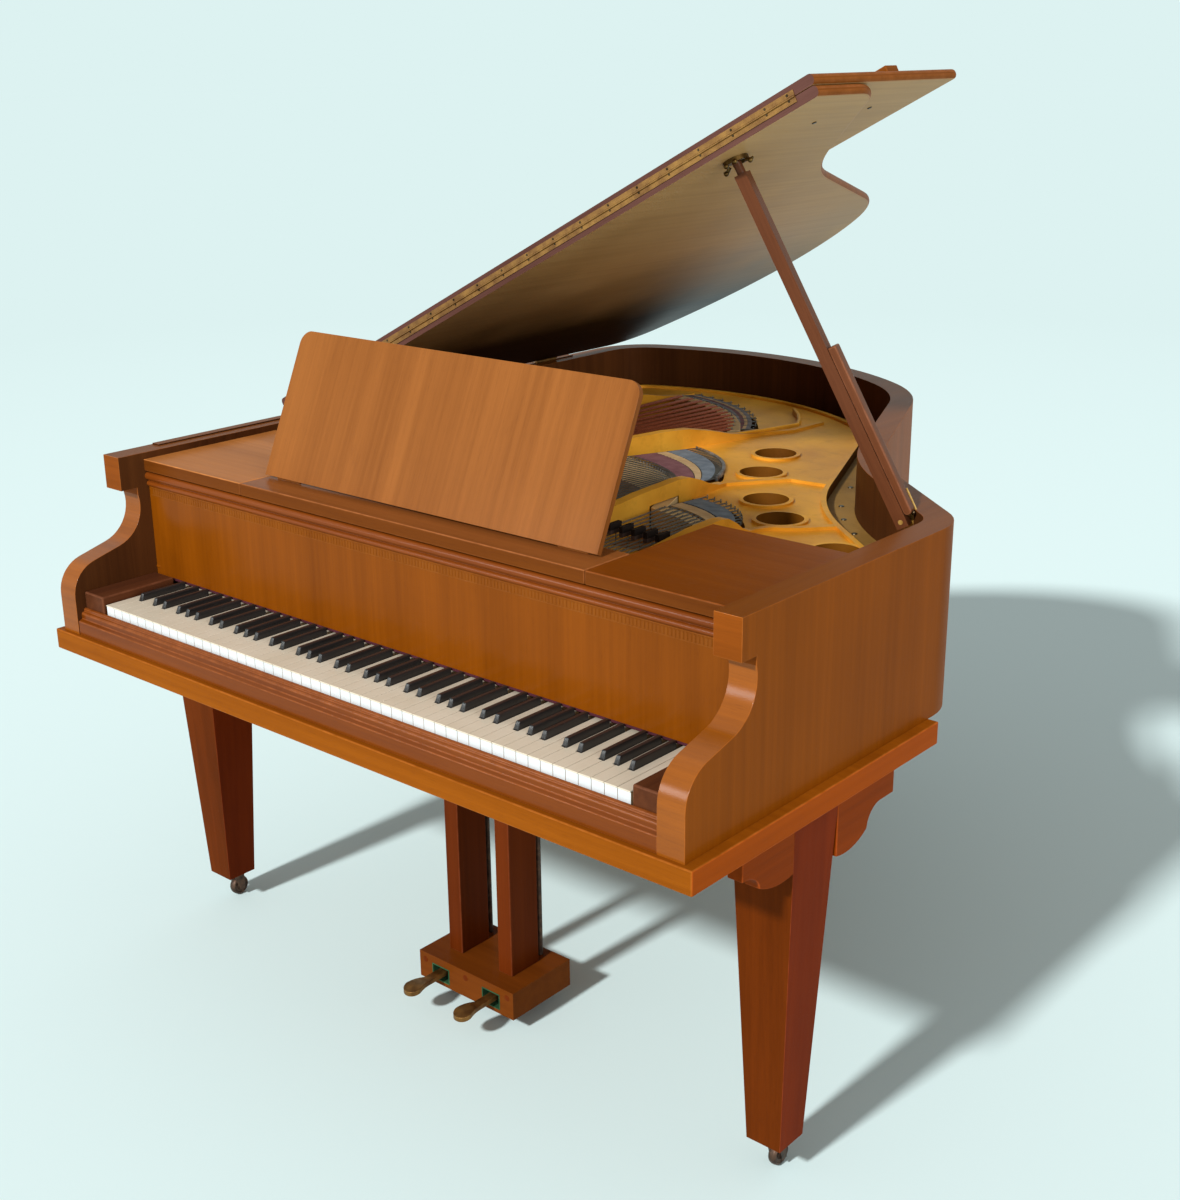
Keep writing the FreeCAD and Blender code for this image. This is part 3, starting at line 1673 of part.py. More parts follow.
doc.recompute()
for obj in doc.Objects:
    if "Invalid" in obj.State or "Error" in obj.State:
        raise RuntimeError(f"{obj.Label} did not compute: {obj.State}")
for label, obj in nodes.items():
    if obj.Shape.isNull() or not obj.Shape.isValid() or not obj.Shape.Solids:
        raise RuntimeError(f"{label} has no sound shape")

os.makedirs("parts", exist_ok=True)
for label, obj in nodes.items():
    obj.Shape.exportStep(f"parts/{label}.step")
print(len(nodes), "pieces, length", round(tail_y, 1))
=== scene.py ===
import json
import math

import bmesh
import bpy
from mathutils import Matrix, Vector

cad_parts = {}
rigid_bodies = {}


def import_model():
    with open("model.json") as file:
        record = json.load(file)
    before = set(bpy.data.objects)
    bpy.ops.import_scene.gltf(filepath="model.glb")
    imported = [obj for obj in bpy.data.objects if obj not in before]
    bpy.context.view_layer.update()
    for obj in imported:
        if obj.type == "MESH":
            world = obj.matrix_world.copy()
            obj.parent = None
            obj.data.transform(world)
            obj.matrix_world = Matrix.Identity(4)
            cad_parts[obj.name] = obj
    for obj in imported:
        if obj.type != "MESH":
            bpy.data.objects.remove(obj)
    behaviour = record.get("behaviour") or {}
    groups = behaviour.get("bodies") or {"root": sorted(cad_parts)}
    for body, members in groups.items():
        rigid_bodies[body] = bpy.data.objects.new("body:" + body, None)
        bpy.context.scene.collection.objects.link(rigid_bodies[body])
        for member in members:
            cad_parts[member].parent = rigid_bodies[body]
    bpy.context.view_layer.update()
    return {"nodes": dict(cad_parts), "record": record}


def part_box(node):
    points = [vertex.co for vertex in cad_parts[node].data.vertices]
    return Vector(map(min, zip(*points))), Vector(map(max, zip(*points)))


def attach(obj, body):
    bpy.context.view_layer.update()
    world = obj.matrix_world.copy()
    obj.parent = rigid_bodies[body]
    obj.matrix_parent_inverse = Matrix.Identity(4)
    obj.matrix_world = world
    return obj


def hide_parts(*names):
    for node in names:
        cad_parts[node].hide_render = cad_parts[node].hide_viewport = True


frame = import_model()

# Studio. A pale floor runs to the horizon under an even sky of the same pale tint.
# One lamp in front of the keyboard throws the shadow on the floor. The object has a key
# light from the front, a wide low one from the treble side and a narrow one from the bass side.


class Wire:
    """A shader socket on which plain arithmetic adds Math nodes."""

    def __init__(self, finish, socket):
        self.finish = finish
        self.socket = socket

    def math(self, operation, first, second):
        """A Math node on two values."""
        return self.finish.node("Math", {"operation": operation}, {0: first, 1: second})

    def __add__(self, other):
        return self.math("ADD", self, other)

    def __radd__(self, other):
        return self.math("ADD", other, self)

    def __sub__(self, other):
        return self.math("SUBTRACT", self, other)

    def __rsub__(self, other):
        return self.math("SUBTRACT", other, self)

    def __mul__(self, other):
        return self.math("MULTIPLY", self, other)

    def __rmul__(self, other):
        return self.math("MULTIPLY", other, self)

    def over(self, low, high):
        """The share of the way from low to high, kept between 0 and 1."""
        return self.finish.node("MapRange", {}, {0: self, 1: low, 2: high})


class Finish:
    """A surface finish: its material, and one method that adds any node to it."""

    def __init__(self, name, holder=None, turn=None):
        self.material = holder or bpy.data.materials.new(name)
        self.material.use_nodes = True
        self.tree = self.material.node_tree
        self.shader = self.tree.nodes.get("Principled BSDF")
        self.place = None
        self.turn = turn

    def node(self, kind, settings=None, sockets=None, output=0):
        """Any node, from its type, its settings and the values or links of its sockets."""
        made = self.tree.nodes.new("ShaderNode" + kind)
        for key, value in (settings or {}).items():
            setattr(made, key, value)
        for key, value in (sockets or {}).items():
            self.feed(made.inputs[key], value)
        return Wire(self, made.outputs[output])

    def feed(self, socket, value):
        """Links a wire to a socket, or sets its plain value."""
        if isinstance(value, Wire):
            self.tree.links.new(value.socket, socket)
        else:
            socket.default_value = value

    def surface(self, **values):
        """Sets or links the shader's own sockets."""
        for key, value in values.items():
            self.feed(self.shader.inputs[key.replace("_", " ")], value)
        return self.material

    def spot(self):
        """The piece's own coordinates, turned with a piece that leans."""
        if self.place is None:
            self.place = self.node("TexCoord", output="Object")
            if self.turn:
                self.place = self.node("Mapping", {}, {"Vector": self.place, "Rotation": self.turn})
        return self.place

    def noise(self, scale, detail=3.0, roughness=0.5):
        """Noise with one scale or a scale for each axis."""
        steps = [scale] * 3 if isinstance(scale, (int, float)) else scale
        spot = self.node("Mapping", {}, {"Vector": self.spot(), "Scale": steps})
        return self.node(
            "TexNoise", {}, {"Vector": spot, "Scale": 1.0, "Detail": detail, "Roughness": roughness}
        )

    def blend(self, share, first, second, mode="MIX"):
        """Two colours mixed by a share."""
        return self.node(
            "Mix", {"data_type": "RGBA", "blend_type": mode}, {0: share, 6: first, 7: second}, 2
        )

    def bump(self, height, depth):
        """A surface relief whose depth is given in metres."""
        return self.node("Bump", {}, {"Height": height, "Strength": 1.0, "Distance": depth})


def paint(red, green, blue):
    """A colour as it is seen on a screen, turned into the shader's linear values."""
    parts = [c / 255 for c in (red, green, blue)]
    return [c / 12.92 if c <= 0.04045 else ((c + 0.055) / 1.055) ** 2.4 for c in parts] + [1.0]


def lamp(name, travel, strength, width):
    """A far lamp whose light travels in one direction."""
    data = bpy.data.lights.new(name, "SUN")
    data.energy, data.angle = strength, math.radians(width)
    made = bpy.data.objects.new(name, data)
    made.rotation_mode = "QUATERNION"
    made.rotation_quaternion = Vector(travel).to_track_quat("-Z", "Y")
    bpy.context.scene.collection.objects.link(made)
    return made


sky_tint = paint(221, 242, 241)
sky_light, key_strength, side_strength, window_strength = 0.42, 3.3, 1.7, 0.6
floor_travel = Vector((0.04, 0.79, -0.61)).normalized()
floor_lamp = lamp("floor_light", floor_travel, key_strength, 4.5)
key_lamp = lamp("key_light", (-0.08, 0.85, -0.52), key_strength, 3.5)
side_lamp = lamp("side_light", (-0.93, 0.25, -0.22), side_strength, 40.0)
window_lamp = lamp("window_light", (0.60, 0.76, -0.23), window_strength, 16.0)
world = bpy.data.worlds.new("studio_sky")
bpy.context.scene.world = world
sky = Finish("studio_sky", world)
background = sky.tree.nodes["Background"]
rays = [
    sky.node("LightPath", output=ray)
    for ray in ("Is Camera Ray", "Is Glossy Ray", "Is Transmission Ray")
]
seen = (rays[0] + rays[1] + rays[2]).over(0.0, 1.0)
sky.feed(background.inputs["Color"], sky.blend(seen, [sky_light] * 3 + [1.0], sky_tint))
bpy.context.scene.view_settings.view_transform = "Standard"

floor_reach = 60.0
floor_mesh = bmesh.new()
bmesh.ops.create_grid(floor_mesh, x_segments=1, y_segments=1, size=floor_reach)
floor_data = bpy.data.meshes.new("floor")
floor_mesh.to_mesh(floor_data)
floor_mesh.free()
floor = bpy.data.objects.new("floor", floor_data)
bpy.context.scene.collection.objects.link(floor)
floor_light = sky_light - key_strength * floor_travel.z / math.pi
floor_paint = Finish("floor_paint")
# Painted light: the floor's colour is 7% lighter near the piano, fading out between 2.5 m and 8 m,
# to offset the shade the case throws round itself by hiding part of the sky.
near_painted_lift, far_lift, near_reach, far_reach = 1.07, 1.0, 2.5, 8.0
near_painted_light_tone, far_tone = (
    [c / floor_light * lift for c in sky_tint[:3]] + [1.0] for lift in (near_painted_lift, far_lift)
)
away = floor_paint.node("VectorMath", {"operation": "LENGTH"}, {0: floor_paint.spot()}, 1)
floor_tone_with_painted_light = floor_paint.blend(away.over(near_reach, far_reach), near_painted_light_tone, far_tone)
floor_data.materials.append(
    floor_paint.surface(Base_Color=floor_tone_with_painted_light, Roughness=0.9, Specular_IOR_Level=0.0)
)


def link_light(source, obj, state):
    """Lets a lamp's light fall on one object only, or keeps it off that object."""
    group = source.light_linking.receiver_collection
    if group is None:
        group = bpy.data.collections.new(source.name + "_receivers")
        source.light_linking.receiver_collection = group
    group.objects.link(obj)
    group.collection_objects[len(group.objects) - 1].light_linking.link_state = state


link_light(floor_lamp, floor, "INCLUDE")
for source in (key_lamp, side_lamp, window_lamp):
    link_light(source, floor, "EXCLUDE")

yaw, pitch, roll = 0.7134, 0.3271, -0.011
view_ahead = Vector(
    (-math.sin(yaw) * math.cos(pitch), math.cos(yaw) * math.cos(pitch), -math.sin(pitch))
)
view_right = Vector((math.cos(yaw), math.sin(yaw), 0.0))
view_right.rotate(Matrix.Rotation(-roll, 3, view_ahead))
view_up = view_right.cross(view_ahead)
view_spot = (1.868557, -2.362865, 1.671528)
photo_height_px, focal_px, sensor = 1200.0, 1624.384, 36.0
lens = bpy.data.cameras.new("camera")
lens.sensor_fit = "VERTICAL"
lens.sensor_width = lens.sensor_height = sensor
lens.lens = focal_px / photo_height_px * sensor
lens.clip_end = 200.0
camera = bpy.data.objects.new("camera", lens)
aim = Matrix((view_right, view_up, -view_ahead)).transposed().to_4x4()
camera.matrix_world = Matrix.Translation(view_spot) @ aim
bpy.context.scene.collection.objects.link(camera)
bpy.context.scene.camera = camera


# Keybed. A thick board of solid hardwood carries the keys, the case and the legs.
# Its front and side edges show long straight grain under an amber lacquer.

record = frame["record"]
behaviour = record["behaviour"]
body_of = {node: body for body, group in behaviour["bodies"].items() for node in group}
joint_of = {joint["name"]: joint for joint in behaviour["joints"]}
bed_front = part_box("keybed")[0].y


def node_copy(node):
    """A CAD node's mesh with its loose triangles merged into whole faces."""
    same_spot, same_plane = 2e-5, math.radians(0.6)
    made = bmesh.new()
    made.from_mesh(frame["nodes"][node].data)
    bmesh.ops.remove_doubles(made, verts=made.verts, dist=same_spot)
    bmesh.ops.dissolve_limit(made, angle_limit=same_plane, verts=made.verts, edges=made.edges)
    return made


def ease(made, width, segments=2, corner=30.0, pick=None):
    """Rounds the sharp edges and marks the narrow new faces for edge wear and a painted edge
    highlight.
    """
    wear_and_painted_highlight = made.faces.layers.float.get("wear_and_painted_highlight") or made.faces.layers.float.new("wear_and_painted_highlight")
    sharp = [
        e
        for e in made.edges
        if e.is_manifold
        and e.calc_face_angle(0.0) > math.radians(corner)
        and (pick is None or pick(e))
    ]
    new = bmesh.ops.bevel(
        made,
        geom=sharp,
        offset=width,
        offset_type="OFFSET",
        affect="EDGES",
        segments=segments,
        profile=0.5,
        material=-1,
        clamp_overlap=True,
    )
    for face in new["faces"]:
        face[wear_and_painted_highlight] = 1.0


def finish_by(made, choose):
    """Gives each face the finish that its direction and its middle ask for."""
    made.normal_update()
    for face in made.faces:
        face.material_index = choose(face, face.calc_center_median())


def piece(name, made, body, finishes, replaces=()):
    """Turns a bmesh into a finished piece that rides on a body."""
    smooth_up_to = math.radians(32.0)
    data = bpy.data.meshes.new(name)
    made.to_mesh(data)
    made.free()
    data.polygons.foreach_set("use_smooth", [True] * len(data.polygons))
    data.set_sharp_from_angle(angle=smooth_up_to)
    for finish in finishes if isinstance(finishes, (list, tuple)) else [finishes]:
        data.materials.append(finish)
    obj = bpy.data.objects.new(name, data)
    bpy.context.scene.collection.objects.link(obj)
    even = obj.modifiers.new("even_normals", "WEIGHTED_NORMAL")
    even.keep_sharp = True
    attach(obj, body)
    if replaces:
        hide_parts(*replaces)
    return obj


def in_place_of(node, made, finishes):
    """A finished piece that stands for a CAD node and rides on its body."""
    return piece(node + "_dressed", made, body_of[node], finishes, [node])


def dress(node, width, finishes, segments=2, choose=None, add=None, pick=None):
    """The CAD node's own shape with eased edges and a finish, in place of the node."""
    made = node_copy(node)
    ease(made, width, segments, pick=pick)
    if choose:
        finish_by(made, choose)
    if add:
        add(made)
    return in_place_of(node, made, finishes)


def veneer(name, grain, dark, light, gloss=0.38, coat=0.02, figure=1.0, turn=None):
    """Lacquered wood: ribbon figure, fine streaks and short dark pores along one axis."""
    wood = Finish(name, turn=turn)
    along = "XYZ".index(grain)

    def steps(across, lengthwise):
        return [lengthwise if axis == along else across for axis in range(3)]

    ribbon = wood.noise(steps(15.0, 0.45), 3.0).over(0.34, 0.66)
    streak = wood.noise(steps(90.0, 1.5), 4.0, 0.6).over(0.30, 0.70)
    fibre = wood.noise(steps(620.0, 14.0), 2.0).over(0.25, 0.75)
    pores = wood.noise(steps(1500.0, 45.0), 2.0).over(0.60, 0.74)
    cloud = wood.noise(3.0, 3.0).over(0.30, 0.70)
    tone = ribbon * (0.36 * figure) + streak * 0.30 + fibre * 0.14 + cloud * (0.56 - 0.36 * figure)
    colour = wood.blend(tone, dark, light)
    shade = [0.45, 0.36, 0.30, 1.0]
    colour = wood.blend(pores * 0.34, colour, wood.blend(1.0, colour, shade, "MULTIPLY"))
    # Bevelled faces turn paler: partly rubbed wear, partly a painted highlight along the rounded
    # edges.
    edge = wood.node("Attribute", {"attribute_name": "wear_and_painted_highlight"}, output="Fac")
    rubbed = wood.noise(38.0, 4.0, 0.7).over(0.35, 0.75)
    pale_wear_and_highlight = [min(1.0, c * 1.45 + 0.015) for c in light[:3]] + [1.0]
    colour = wood.blend(edge * (rubbed * 0.50 + 0.10), colour, pale_wear_and_highlight)
    return wood.surface(
        Base_Color=colour,
        Roughness=gloss + fibre * 0.08 + cloud * 0.07,
        Normal=wood.bump(fibre * 0.4 - pores, 0.00010),
        Coat_Weight=coat,
        Coat_Roughness=0.20,
        Specular_IOR_Level=0.015,
    )


bed_finishes = [
    veneer("keybed_amber", "X", paint(110, 54, 5), paint(146, 79, 13)),
    veneer("keybed_amber_sides", "Y", paint(121, 52, 4), paint(158, 71, 6)),
]


def looks_sideways(face, spot):
    """Picks the second finish for faces that look to the bass or the treble side."""
    return int(abs(face.normal.x) > 0.7)


dress("keybed", 0.0022, bed_finishes, 2, looks_sideways)


# Rim and arms. Veneer with an upright ribbon figure is laid over a bent laminated band.
# The arms' S curves and square blocks are shaped from the same band and lacquered.
# A thin strip runs along the spine's top, let in between the leaves of the lid's hinges.

rim_finishes = [
    veneer("rim_walnut", "Z", paint(104, 51, 3), paint(137, 70, 7), 0.38, 0.06, 0.8),
    # The dark colour of the case's inward faces is painted shade.
    veneer("rim_inside_painted_shade", "Z", paint(56, 29, 13), paint(90, 51, 23)),
    veneer("rim_top_walnut", "Y", paint(95, 48, 11), paint(123, 67, 20), 0.34, 0.14),
    # The dark colour of the spine strip's step faces is painted shade, the dark line along the
    # step.
    veneer("rim_step_painted_shade", "Y", paint(44, 24, 12), paint(66, 36, 18)),
    veneer("arm_walnut", "X", paint(111, 57, 7), paint(151, 82, 14), 0.30, 0.50),
    veneer("arm_block", "X", paint(103, 50, 8), paint(138, 70, 15), 0.36, 0.06),
]
rim_low, rim_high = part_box("rim")
rim_middle, arm_depth, arm_block_height, top_band = 0.1, 0.18, 0.075, 0.004


def rim_face(face, spot):
    """Faces that look into the case get painted shade, a darker colour, and the top its own long
    grain.
    """
    outward = Vector((spot.x, spot.y - rim_middle, 0.0))
    if abs(face.normal.z) < 0.3 and face.normal.dot(outward) < 0:
        return 1
    if face.normal.y < -0.1 and abs(face.normal.x) < 0.4 and spot.y < bed_front + arm_depth:
        return 5 if face.normal.y < -0.98 and spot.z > rim_high.z - arm_block_height else 4
    return 2 if face.normal.z > 0.9 and spot.z > rim_high.z - top_band else 0


def put(target, part, place=Matrix()):
    """Adds a copy of a small shape to a mesh at its place."""
    data = bpy.data.meshes.new("copy")
    part.to_mesh(data)
    data.transform(place)
    target.from_mesh(data)
    bpy.data.meshes.remove(data)


def slab(target, low, high, width, finish=0, place=Matrix(), side_finish=None):
    """A squared block with eased edges, set in a mesh."""
    part = bmesh.new()
    low, high = Vector(low), Vector(high)
    bmesh.ops.create_cube(part, size=1.0)
    bmesh.ops.scale(part, vec=high - low, verts=part.verts)
    bmesh.ops.translate(part, vec=(low + high) / 2, verts=part.verts)
    ease(part, width)
    sides = finish if side_finish is None else side_finish
    finish_by(part, lambda face, spot: finish if face.normal.z > 0.5 else sides)
    put(target, part, place)
    part.free()


def islands(node):
    """The points of each loose shape in a CAD node, in order along the case."""
    made = node_copy(node)
    found, reached = [], set()
    for first in made.verts:
        if first in reached:
            continue
        reached.add(first)
        group = [first]
        for vert in group:
            for edge in vert.link_edges:
                other = edge.other_vert(vert)
                if other not in reached:
                    reached.add(other)
                    group.append(other)
        found.append([vert.co.copy() for vert in group])
    made.free()
    return sorted(found, key=lambda points: (min(p.y for p in points), min(p.x for p in points)))


def corners(points):
    """The lowest and the highest corner of the box round some points."""
    return [Vector([pick(p[axis] for p in points) for axis in range(3)]) for pick in (min, max)]


def spine_strips(made):
    """The strip's lengths between the hinge leaves, and a short one after the last."""
    gap, sunk, proud, last_length = 0.0006, 0.0004, 0.0026, 0.06
    left, right = rim_low.x + 0.0022, rim_low.x + 0.0220
    leaves = [corners(points) for points in islands("spine_hinge_rim_leaves")]
    starts = [bed_front + 0.233] + [leaf_high.y + gap for leaf_low, leaf_high in leaves]
    ends = [leaf_low.y - gap for leaf_low, leaf_high in leaves] + [starts[-1] + last_length]
    for start, end in zip(starts, ends):
        low = (left, start, rim_high.z - sunk)
        # The strips' sides take finish 3: painted shade along the step.
        slab(made, low, (right, end, rim_high.z + proud), 0.0007, 2, side_finish=3)


dress("rim", 0.0022, rim_finishes, 3, rim_face, spine_strips)
# The inner rim takes the same painted shade colour.
dress("inner_rim", 0.001, rim_finishes[1])


# Hidden structure. Belly rail, beams, pin block and key frame are bare beech and spruce,
# glued and screwed, with sawn grain and no lacquer.

bare_wood = veneer("bare_beech", "X", paint(150, 110, 70), paint(186, 146, 98), 0.6, 0.0, 0.5)
beam_wood = veneer(
    "bare_spruce_beams", "Y", paint(150, 112, 70), paint(190, 150, 100), 0.6, 0.0, 0.5
)
for node, width, finish in (
    ("belly_rail", 0.0015, bare_wood),
    ("back_beams", 0.0030, beam_wood),
    ("pinblock", 0.0010, bare_wood),
    ("keyframe", 0.0006, bare_wood),
):
    dress(node, width, finish)


# Cast plate. Grey iron, ground smooth and sprayed with bronze powder under clear lacquer.
# The bars, ribs and hole rims keep the soft rounded edges of the sand casting, and slotted
# screws hold the duller flange down all round.


def bronze_lacquer(name, deep, bright, metal, gloss):
    """Gold bronze paint over cast iron, with the faint orange-peel of the spray."""
    gold = Finish(name)
    cast = gold.noise(420.0, 3.0)
    cloud = gold.noise(6.0, 4.0).over(0.3, 0.7)
    colour = gold.blend(cloud, deep, bright)
    dust = gold.noise(26.0, 5.0, 0.7).over(0.52, 0.78)
    colour = gold.blend(dust * 0.35, colour, [c * 0.5 for c in deep[:3]] + [1.0])
    return gold.surface(
        Base_Color=colour,
        Metallic=metal,
        Roughness=gloss + cloud * 0.10,
        Normal=gold.bump(cast, 0.00035),
        Specular_IOR_Level=0.10,
    )


def worn_metal(name, deep, bright, gloss, metal=1.0, grit=60.0):
    """Handled metal with clouded tarnish and fine scratches."""
    bare = Finish(name)
    cloud = bare.noise(grit, 4.0).over(0.3, 0.7)
    scratch = bare.noise([900.0, 60.0, 900.0], 2.0).over(0.55, 0.75)
    return bare.surface(
        Base_Color=bare.blend(cloud, deep, bright),
        Metallic=metal,
        Roughness=gloss + cloud * 0.12 + scratch * 0.10,
        Normal=bare.bump(scratch, 0.00004),
    )


def stand(at, up):
    """The place of a small turned part that stands on a spot along a direction."""
    return Matrix.Translation(at) @ Vector(up).to_track_quat("Z", "Y").to_matrix().to_4x4()


def rod(target, start, end, radius, sides=6, finish=0, tip=None):
    """A straight round bar between two spots."""
    run = end - start
    made = bmesh.ops.create_cone(
        target,
        cap_ends=True,
        segments=sides,
        radius1=radius,
        radius2=radius if tip is None else tip,
        depth=run.length,
        matrix=stand((start + end) / 2, run),
    )
    for face in {face for vert in made["verts"] for face in vert.link_faces}:
        face.material_index = finish


def cut(made, spot, normal, **cleared):
    """Cuts a whole mesh along a plane."""
    whole = made.verts[:] + made.edges[:] + made.faces[:]
    return bmesh.ops.bisect_plane(made, geom=whole, plane_co=spot, plane_no=normal, **cleared)


def shift_new(made, extruded, height):
    """Moves the points that an extrusion has made up or down."""
    points = [g for g in extruded["geom"] if isinstance(g, bmesh.types.BMVert)]
    bmesh.ops.translate(made, vec=(0.0, 0.0, height), verts=points)


def slotted_screw(radius, finish):
    """A round screw head with a slot sunk across it."""
    head = bmesh.new()
    height, slot_half = radius * 0.5, radius * 0.14
    bmesh.ops.create_cone(
        head, cap_ends=True, segments=12, radius1=radius, radius2=radius * 0.76, depth=height
    )
    for side in (-slot_half, slot_half):
        cut(head, (side, 0, 0), (1, 0, 0))
    head.normal_update()
    top = [f for f in head.faces if f.normal.z > 0.9]
    slot = [f for f in top if abs(f.calc_center_median().x) < slot_half * 0.5]
    shift_new(head, bmesh.ops.extrude_face_region(head, geom=slot), -height * 0.55)
    finish_by(head, lambda face, spot: finish)
    return head


flange_top, web_top = 0.871, 0.885
plate_finishes = [
    bronze_lacquer("plate_bronze", paint(192, 127, 25), paint(234, 171, 58), 0.30, 0.38),
    bronze_lacquer("flange_olive", paint(128, 94, 40), paint(166, 128, 68), 0.10, 0.55),
    worn_metal("plate_screws", paint(52, 44, 34), paint(96, 84, 66), 0.36),
    bronze_lacquer("opening_bronze", paint(84, 46, 8), paint(128, 78, 16), 0.15, 0.50),
]
hitch_wall = (
    (-0.112, 1.252), (-0.100, 1.290), (-0.087, 1.327), (-0.073, 1.376), (-0.060, 1.418),
    (-0.078, 1.452), (-0.110, 1.497), (-0.150, 1.540),
)


def plate_face(face, spot):
    """Duller paint on the flange, and darker paint down the walls of the openings."""
    if face.normal.z > 0.9 and spot.z < flange_top + 0.0015:
        return 1
    return 3 if abs(face.normal.z) < 0.3 and spot.z < web_top - 0.004 else 0


def cast_wall(target, line, base, height, thick):
    """A standing wall of the casting along a line of spots."""
    part = bmesh.new()
    foot = [part.verts.new((x, bed_front + y, base)) for x, y in line]
    edges = [part.edges.new(pair) for pair in zip(foot, foot[1:])]
    shift_new(part, bmesh.ops.extrude_edge_only(part, edges=edges), height)
    part.normal_update()
    bmesh.ops.solidify(part, geom=part.faces[:], thickness=thick)
    bmesh.ops.recalc_face_normals(part, faces=part.faces)
    ease(part, 0.0028, 3, 40.0)
    put(target, part)
    part.free()


def split_spikes(made):
    """Cuts off slivers where a face's outline doubles back on itself."""
    shortest, narrowest = 1e-6, 0.001
    for face in [f for f in made.faces if len(f.verts) > 4]:
        ring = list(face.verts)
        for before, tip, after in zip(ring[-1:] + ring, ring, ring[1:] + ring[:1]):
            back, on = before.co - tip.co, after.co - tip.co
            if min(back.length, on.length) > shortest and back.angle(on) < narrowest:
                bmesh.utils.face_split(face, before, after)
                break


def plate_fittings(made):
    """The wall round the bass hitch pins, and screws along the flange an even way apart."""
    split_spikes(made)
    cast_wall(made, hitch_wall, web_top - 0.002, 0.0145, 0.009)
    pitch, inset = 0.115, 0.024
    cast = node_copy("plate")
    cast.normal_update()
    kept = []
    for edge in cast.edges:
        walls = [f for f in edge.link_faces if abs(f.normal.z) < 0.1]
        level = all(abs(v.co.z - flange_top) < 2e-4 for v in edge.verts)
        if not (level and walls and walls[0].calc_center_median().z < flange_top):
            continue
        start, end = (v.co for v in edge.verts)
        count = max(1, round((end - start).length / pitch))
        for step in range(count):
            spot = start.lerp(end, (step + 0.5) / count) - walls[0].normal * inset
            if all((spot - other).length > pitch * 0.75 for other in kept):
                kept.append(spot)
    cast.free()
    head = slotted_screw(0.0062, 2)
    for spot in kept:
        put(made, head, Matrix.Translation(spot) @ Matrix.Rotation(spot.x * 37.0, 4, "Z"))
    head.free()


dress("plate", 0.0030, plate_finishes, 3, plate_face, plate_fittings)


# Soundboard and bridges. The board is thin quarter-sawn spruce with close straight grain.
# The bridges are pale maple strips glued to it, with two steel pins for each string.

spruce = veneer("soundboard_spruce", "Y", paint(104, 66, 28), paint(136, 92, 44), 0.42, 0.02, 0.4)
maple = veneer("bridge_maple", "X", paint(176, 144, 96), paint(204, 176, 128), 0.45, 0.02, 0.4)
steel = worn_metal("pin_steel", paint(128, 126, 124), paint(188, 186, 184), 0.30)
dull_steel = worn_metal("string_steel", paint(60, 54, 48), paint(96, 88, 78), 0.42, 0.7)
dress("soundboard", 0.0005, spruce)

string_counts = (12, 24, 12, 14)
bridge_reach = (0.94, 0.72, 0.61, 0.60)
window_front = bed_front + 0.495
hitch_run = 0.0173
hitch_height = 0.0040


def run_ends(points):
    """The near and far end of a straight string, from its two end rings."""
    middle = sum(p.y for p in points) / len(points)
    near = [p for p in points if p.y < middle]
    far = [p for p in points if p.y >= middle]
    return [sum(ring, Vector()) / len(ring) for ring in (near, far)]


def string_groups():
    """Near end, bridge and hitch pin of every string, for each window of the plate."""
    runs = sorted((run_ends(points) for points in islands("strings")), key=lambda run: run[0].x)
    found = []
    for count, reach in zip(string_counts, bridge_reach):
        group = []
        for near, far in runs[:count]:
            line = window_front + (far.y - hitch_run - window_front) * reach
            bridge = near.lerp(far, (line - near.y) / (far.y - near.y))
            group.append((near, bridge, Vector((far.x, far.y, web_top + hitch_height))))
        runs = runs[count:]
        found.append(group)
    return found


groups = string_groups()


def bridge_pins(made):
    """Two pins for each string, one at each side of the bridge."""
    bridge_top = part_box("bridges")[1].z
    half_way, pin_sunk, pin_length = 0.0075, 0.002, 0.0055
    for near, bridge, hitch in sum(groups, []):
        along = (bridge - near).normalized() * half_way
        for spot in (bridge - along, bridge + along):
            foot = Vector((spot.x, spot.y, bridge_top - pin_sunk))
            rod(made, foot, foot + Vector((0.0, 0.0, pin_length)), 0.0011, 5, 1)


dress("bridges", 0.0012, [maple, steel], 2, None, bridge_pins)


# Strings. Bass strings are steel wires wound with copper, the others are plain wires, and
# each note has three. They run over the bridge down to hitch pins in the plate, with woven
# felt between them behind the bridge to keep the ends quiet.

copper = worn_metal("wound_copper", paint(126, 58, 34), paint(180, 94, 58), 0.42, 0.6, 300.0)


def felt(name, deep, bright):
    """Pressed wool felt: clouded colour and a short fuzzy nap."""
    wool = Finish(name)
    nap = wool.noise(1400.0, 3.0)
    cloud = wool.noise(45.0, 4.0).over(0.3, 0.7)
    return wool.surface(
        Base_Color=wool.blend(cloud * 0.6 + nap * 0.4, deep, bright),
        Roughness=0.95,
        Normal=wool.bump(nap, 0.0006),
        Specular_IOR_Level=0.1,
    )


felt_finishes = [
    felt("felt_grey", paint(92, 90, 92), paint(138, 136, 138)),
    felt("felt_mauve", paint(92, 58, 62), paint(132, 92, 94)),
    felt("felt_beige", paint(162, 132, 92), paint(200, 172, 130)),
    felt("felt_blue_grey", paint(84, 94, 104), paint(128, 138, 146)),
]
felt_bands = (
    ((0, 0.20, 0.36), (1, 0.37, 0.52), (2, 0.53, 0.66), (0, 0.67, 0.84)),
    ((1, 0.16, 0.44), (2, 0.46, 0.58), (3, 0.60, 0.84)),
    ((2, 0.18, 0.42), (3, 0.46, 0.82)),
    ((2, 0.18, 0.42), (3, 0.46, 0.82)),
)
bass, tenor = 0, 1
pin_sunk, pin_length, pin_radius, pin_tip, core_radius = 0.001, 0.0085, 0.0017, 0.0013, 0.0009
string_mesh = bmesh.new()
